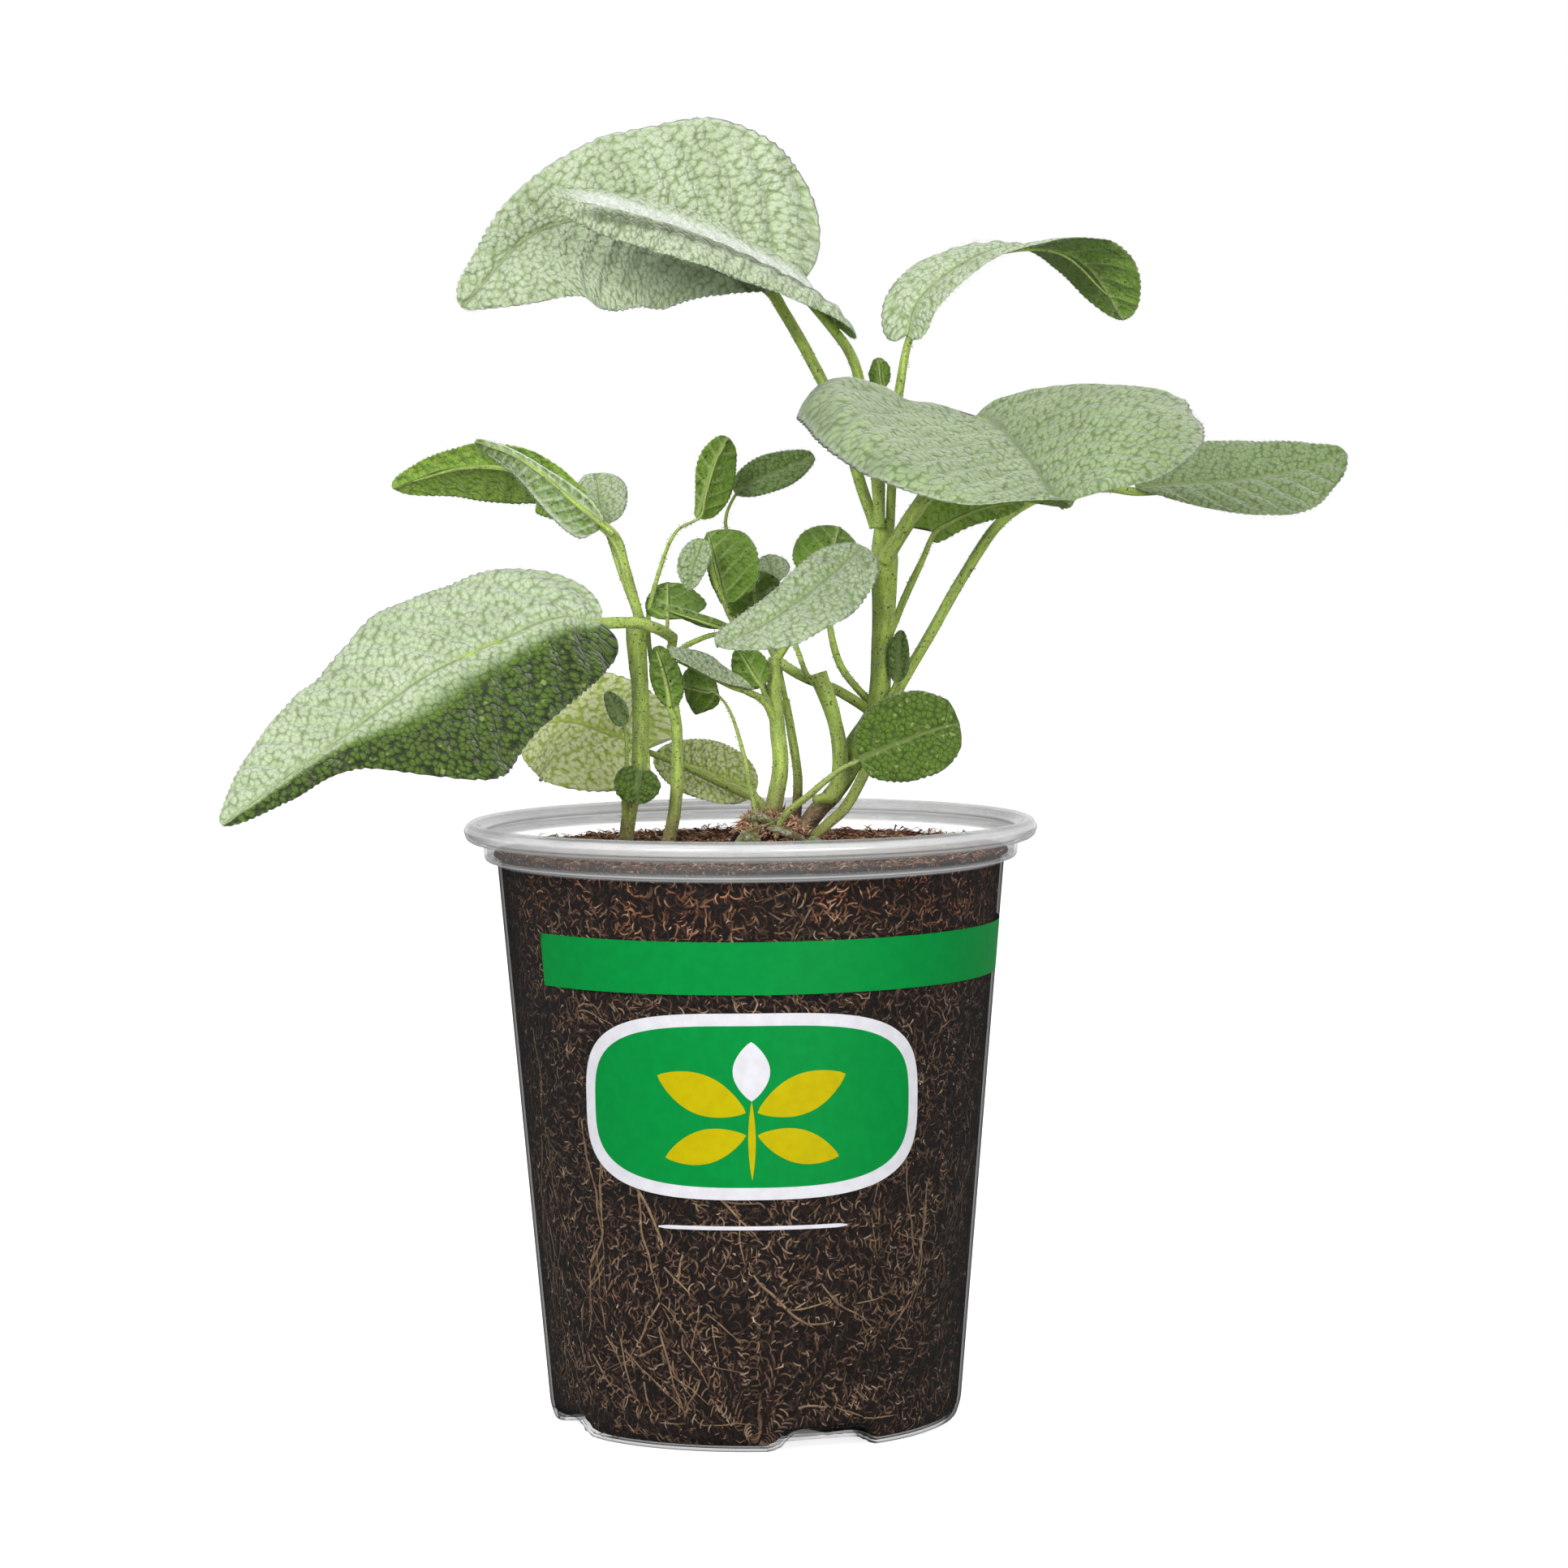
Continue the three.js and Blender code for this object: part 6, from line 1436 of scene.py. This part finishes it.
class SAGE_OT_roots(bpy.types.Operator):
    """Grow pale branching roots along the inside of the wall"""

    bl_idname = "sage.roots"
    bl_label = "Roots"

    def execute(self, context):
        sizes, colours = settings()
        rng = np.random.default_rng(21)
        bm = marked_mesh(*TUBE_MARKS)

        def walk(angle, z, heading, length, radius, branches):
            points, lead = [], heading
            steps = max(int(length / ROOT_STEP), 4)
            for k in range(steps + 1):
                r = float(wall_radius(sizes, z)) - ROOT_INSET - 0.8 * radius - 0.1 * rng.random()
                points.append((r * math.sin(angle), -r * math.cos(angle), z))
                heading += rng.normal(0, 0.17) - 0.2 * (heading - lead)
                angle += ROOT_STEP * math.cos(heading) / r
                z = min(max(z + ROOT_STEP * math.sin(heading), ROOT_FLOOR), ROOT_TOP)
                if branches and k > 1 and rng.random() < BRANCH_CHANCE:
                    aside = heading + rng.choice((-1, 1)) * rng.uniform(0.3, 0.7)
                    walk(angle, z, aside, length * rng.uniform(0.25, 0.5), radius * 0.62, branches - 1)
            add_tube(bm, points, (radius, radius, radius * 0.7, radius * 0.3), 5, 1.1, steps, ridges=0)

        for angle, z, heading, length, radius in FRONT_ROOTS:
            walk(math.radians(angle), z, heading, length, radius, 2)
        for _ in range(BACK_ROOTS):
            angle, z = math.radians(rng.uniform(60, 300)), rng.uniform(20, 90)
            heading, length = rng.uniform(-2.2, -1.0), rng.uniform(15, 50)
            walk(angle, z, heading, length, rng.uniform(0.1, 0.24), 1)
        finish_piece("wall_roots", bm, [root_look(colours)])
        return {"FINISHED"}


# Remains of older leaves on the crown: middle line and thickness
CROWN_BITS = (
    ([(-0.6, -7.6, 109.6), (1.4, -8.2, 109.9), (3.2, -8, 109), (4.6, -7.4, 108)], 0.75),
    ([(3.2, -8.4, 108), (5.6, -8.8, 107.2), (8, -7.6, 106.3), (10.2, -6, 105.2)], 0.7),
    ([(4.6, -7.2, 109), (5.4, -7.6, 110), (6.2, -7, 110.4)], 0.5),
    ([(-2.4, -7.8, 104.6), (-0.8, -8.4, 106.2), (1, -8.2, 105.8), (1.8, -7.6, 104.4)], 1.1),
    ([(9.6, -7, 104.4), (11.4, -7.4, 105.4), (13, -6.8, 104.4)], 0.8),
    ([(-1.8, -8.8, 106.9), (1, -9.2, 107.8), (4.4, -8.8, 109)], 0.24),
)
TUBE_STEP = 0.35


def leaf_looks(colours):
    """The leaf's two skins and the stems' one, made once."""
    makers = {"leaf upper side": leaf_upper, "leaf under side": leaf_under, "sage stem skin": stem_skin}
    return [bpy.data.materials.get(name) or make(colours) for name, make in makers.items()]


class SAGE_OT_stems(bpy.types.Operator):
    """Build the stems with their ridges and woody foot, and the old leaf bases round them"""

    bl_idname = "sage.stems"
    bl_label = "Stems"

    def execute(self, context):
        colours = settings()[1]
        skin = leaf_looks(colours)[2]
        for k, (name, spec) in enumerate(STEMS.items()):
            bm = marked_mesh(*TUBE_MARKS)
            add_tube(bm, spec["points"], spec["radii"], 28, TUBE_STEP, k, spec["woody"])
            bmesh.ops.recalc_face_normals(bm, faces=bm.faces[:])
            finish_piece(name, bm, [skin], (spec["node"],) if "node" in spec else ())
        bm = marked_mesh(*TUBE_MARKS)
        for k, (points, thick) in enumerate(CROWN_BITS):
            add_tube(bm, points, (thick * 0.7, thick, thick * 0.6), 14, 0.2, 50 + k, ridges=0.1)
        bmesh.ops.recalc_face_normals(bm, faces=bm.faces[:])
        finish_piece("crown_remains", bm, [worn_base(colours)])
        return {"FINISHED"}


def build_leaves(names):
    looks = leaf_looks(settings()[1])
    for name in names:
        spec, blade = LEAVES[name], Blade(name)
        bm = marked_mesh("row", "reach", "vein", "edge", "down_and_painted_light", "felt_and_shade")
        add_blade(bm, blade)
        stalk = marked_mesh(*TUBE_MARKS)
        add_tube(stalk, *blade.stalk(), 12 if spec["size"] == "small" else 18, TUBE_STEP, blade.seed, 0.15)
        bmesh.ops.recalc_face_normals(stalk, faces=stalk.faces[:])
        title = name.removeprefix("leaf_")
        nodes = (name,) if spec.get("node") else ()
        finish_piece("sage_leaf_" + title, bm, looks[:2], nodes)
        finish_piece("stalk_" + title, stalk, looks[2:])


class SAGE_OT_leaves(bpy.types.Operator):
    """Build the larger leaves, each with its stalk"""

    bl_idname = "sage.leaves"
    bl_label = "Larger leaves"

    def execute(self, context):
        build_leaves([name for name, spec in LEAVES.items() if spec.get("node")])
        return {"FINISHED"}


class SAGE_OT_small_leaves(bpy.types.Operator):
    """Build the small leaves that grow on the stems"""

    bl_idname = "sage.small_leaves"
    bl_label = "Small leaves"

    def execute(self, context):
        build_leaves([name for name, spec in LEAVES.items() if not spec.get("node")])
        return {"FINISHED"}


# Hairs to a millimetre of stem, stalk and rib, half widths of down and bristles, and the bristles' share of
# the hairs and of their length
STEM_HAIRS, STALK_HAIRS, EDGE_HAIRS = 13, 9, 12
DOWN_HALF, BRISTLE_HALF = 0.022, 0.08
BRISTLE_SHARE, BRISTLE_LENGTH = 0.3, 0.8
LOWEST_HAIR = 104.5


def hairs(name, material, roots, ways, lengths, slot, half=DOWN_HALF):
    """Fine short hairs as needle-thin closed spikes."""
    begin = roots - ways * 0.05
    middle = roots + ways * (lengths * 0.3)[:, None]
    end = roots + ways * lengths[:, None]
    spindles(name, material, (begin, middle, end, np.full(len(roots), half), {}))


def stem_hairs(rng, length):
    """Roots, ways and lengths of the down on stems and on the stalks as far as the blades."""
    under_blade = len(RIB_STATIONS) - 1
    lines = [(spec["points"], spec["radii"], STEM_HAIRS) for spec in STEMS.values()]
    for name in LEAVES:
        points, radii = Blade(name).stalk()
        lines.append((points[:-under_blade], radii[:-under_blade], STALK_HAIRS))
    parts = []
    for points, radii, density in lines:
        line = Line(points)
        number = int(line.length * density)
        u = rng.random(number)
        along = line.along(u)
        turn = 2 * math.pi * rng.random(number)
        side = unit(np.cross(along, np.array([0.3, 0.5, 0.81])))
        out = side * np.cos(turn)[:, None] + np.cross(along, side) * np.sin(turn)[:, None]
        at = line.at(u) + out * listed(radii, u)[:, None] * 0.97
        ways = unit(out + 0.5 * rng.normal(0, 1, (number, 3)))
        lengths = length * (0.5 + rng.random(number))
        keep = at[:, 2] > LOWEST_HAIR
        parts.append((at[keep], ways[keep], lengths[keep]))
    return [np.concatenate(part) for part in zip(*parts)]


def edge_hairs(rng, length):
    """Roots, ways and lengths of the down along the leaves' edges."""
    parts = []
    for name in LEAVES:
        blade = Blade(name)
        number = int(blade.rib.length * EDGE_HAIRS)
        u = (1 - np.cos(math.pi * rng.random(number))) / 2
        v = np.where(rng.random(number) < 0.5, -1.0, 1.0) * (1 - 0.02 * rng.random(number))
        at = blade.sheet(u, v)
        out = unit(at - blade.sheet(u, v * 0.93))
        ways = unit(out + 0.55 * rng.normal(0, 1, (number, 3)))
        parts.append((at - out * 0.05, ways, length * (0.5 + rng.random(number))))
    return [np.concatenate(part) for part in zip(*parts)]


class SAGE_OT_down(bpy.types.Operator):
    """Add the fine down along stems, stalks and leaf edges, and the bristles between it"""

    bl_idname = "sage.down"
    bl_label = "Down"

    def execute(self, context):
        sizes, colours = settings()
        rng = np.random.default_rng(31)
        look = down_hair(colours)
        roots, ways, lengths = stem_hairs(rng, sizes.hair / MM)
        hairs("stem_down", look, roots, ways, lengths, "stem")
        rough = rng.random(len(roots)) < BRISTLE_SHARE
        shorter = lengths[rough] * BRISTLE_LENGTH
        hairs("stem_spines", bristle_look(), roots[rough], ways[rough], shorter, "stem", BRISTLE_HALF)
        hairs("leaf_edge_down", look, *edge_hairs(rng, sizes.hair / MM), "leaf")
        return {"FINISHED"}


# The stage, in metres and watts: place, aim, diameter and power of each lamp
LAMPS = {
    "key light": ((-0.55, -1.0, 0.75), (0, 0, 0.13), 0.55, 10.2),
    "fill light": ((0.6, -1.1, 0.28), (0, 0, 0.11), 0.9, 8.3),
    "top light": ((0.1, 0.25, 1.1), (0, 0, 0.14), 0.6, 1.6),
}
# The white world's strength as mirrors see it and as it lights the scene; the camera sees it in full
MIRRORED_WHITE, WORLD_LIGHT = 0.95, 0.42
FLOOR_HALF, FLOOR_GLOW = 4.0, 0.8
# The camera: where it stands, how far it looks down and leans, and its focal length in the photo's pixels
EYE = (0.0061, -1.064, 0.1936)
EYE_DOWN, EYE_LEAN = 4.22, 0.5
SENSOR, FOCAL_PIXELS, PHOTO_PIXELS = 36, 7300, 1932


def pale_paper():
    """The floor's paper, whiter to the camera than to the scene's light."""
    material, w, looks = new_material("pale floor paper", 1.0, 0.0)
    seen = w.add("LightPath").outputs["Is Camera Ray"]
    tone = w.mix(w.noise(60, 2), (0.9, 0.9, 0.9), (0.88, 0.88, 0.88))
    w.join(w.mix(seen, (0.35, 0.35, 0.35), tone), looks["Base Color"])
    looks["Emission Color"].default_value = (1, 1, 1, 1)
    w.join(w.times(seen, FLOOR_GLOW), looks["Emission Strength"])
    return material


def white_world():
    """A world that is white to the camera, nearly so to mirrors and soft as light."""
    world = bpy.data.worlds.new("studio white")
    world.use_nodes = True
    world.node_tree.nodes.clear()
    w = Wires(world.node_tree)
    path = w.add("LightPath").outputs
    shown, light = w.add("Background"), w.add("Background")
    for background, strength in ((shown, 1.0), (light, WORLD_LIGHT)):
        background.inputs["Color"].default_value = (1, 1, 1, 1)
        background.inputs["Strength"].default_value = strength
    white = w.maths("MAXIMUM", path["Is Camera Ray"], w.times(path["Is Glossy Ray"], MIRRORED_WHITE))
    both = w.mix_shaders(white, light.outputs[0], shown.outputs[0])
    w.join(both, w.add("OutputWorld").inputs[0])
    return world


class SAGE_OT_stage(bpy.types.Operator):
    """Set the pale floor, the soft light and the camera"""

    bl_idname = "sage.stage"
    bl_label = "Stage"

    def execute(self, context):
        scene = context.scene
        bm = bmesh.new()
        bmesh.ops.create_grid(bm, x_segments=1, y_segments=1, size=FLOOR_HALF)
        mesh = bpy.data.meshes.new("pale_floor")
        bm.to_mesh(mesh)
        bm.free()
        mesh.materials.append(pale_paper())
        floor = bpy.data.objects.new("pale_floor", mesh)
        scene.collection.objects.link(floor)
        scene.world = white_world()

        for name, (spot, aim, size, power) in LAMPS.items():
            lamp = bpy.data.lights.new(name, "AREA")
            lamp.shape = "DISK"
            lamp.size = size
            lamp.energy = power
            holder = bpy.data.objects.new(name, lamp)
            scene.collection.objects.link(holder)
            back = unit(np.array(spot) - np.array(aim))
            right = unit(np.cross((0, 0, 1.0), back))
            up = np.cross(back, right)
            rows = [[right[k], up[k], back[k], spot[k]] for k in range(3)]
            holder.matrix_world = Matrix(rows + [[0, 0, 0, 1]])

        camera = bpy.data.cameras.new("camera")
        camera.sensor_width = SENSOR
        camera.lens = SENSOR * FOCAL_PIXELS / PHOTO_PIXELS
        camera.clip_start = 0.05
        camera.clip_end = 20
        eye = bpy.data.objects.new("camera", camera)
        scene.collection.objects.link(eye)
        down = Matrix.Rotation(math.radians(90 - EYE_DOWN), 4, "X")
        lean = Matrix.Rotation(math.radians(-EYE_LEAN), 4, "Z")
        eye.matrix_world = Matrix.Translation(EYE) @ (down @ lean)
        scene.camera = eye
        scene.view_settings.view_transform = "Standard"
        return {"FINISHED"}


OPERATORS = (SAGE_OT_stage, SAGE_OT_pot, SAGE_OT_print, SAGE_OT_mix, SAGE_OT_roots, SAGE_OT_stems,
             SAGE_OT_leaves, SAGE_OT_small_leaves, SAGE_OT_down)


class SAGE_PT_panel(bpy.types.Panel):
    """Sizes, colours and pieces of the potted sage"""

    bl_idname = "SAGE_PT_panel"
    bl_label = "Potted sage"
    bl_space_type = "VIEW_3D"
    bl_region_type = "UI"
    bl_category = "Sage"

    def draw(self, context):
        for group, kind in ((context.scene.sage_sizes, SageSizes), (context.scene.sage_colours, SageColours)):
            box = self.layout.box()
            for key in kind.__annotations__:
                box.prop(group, key)
        for operator in OPERATORS:
            self.layout.operator(operator.bl_idname)


def register():
    for kind in (SageSizes, SageColours, *OPERATORS, SAGE_PT_panel):
        bpy.utils.register_class(kind)
    bpy.types.Scene.sage_sizes = PointerProperty(type=SageSizes)
    bpy.types.Scene.sage_colours = PointerProperty(type=SageColours)


def unregister():
    del bpy.types.Scene.sage_sizes
    del bpy.types.Scene.sage_colours
    for kind in reversed((SageSizes, SageColours, *OPERATORS, SAGE_PT_panel)):
        bpy.utils.unregister_class(kind)


def main():
    register()
    for operator in OPERATORS:
        group, name = operator.bl_idname.split(".")
        getattr(getattr(bpy.ops, group), name)()


if __name__ == "__main__":
    main()
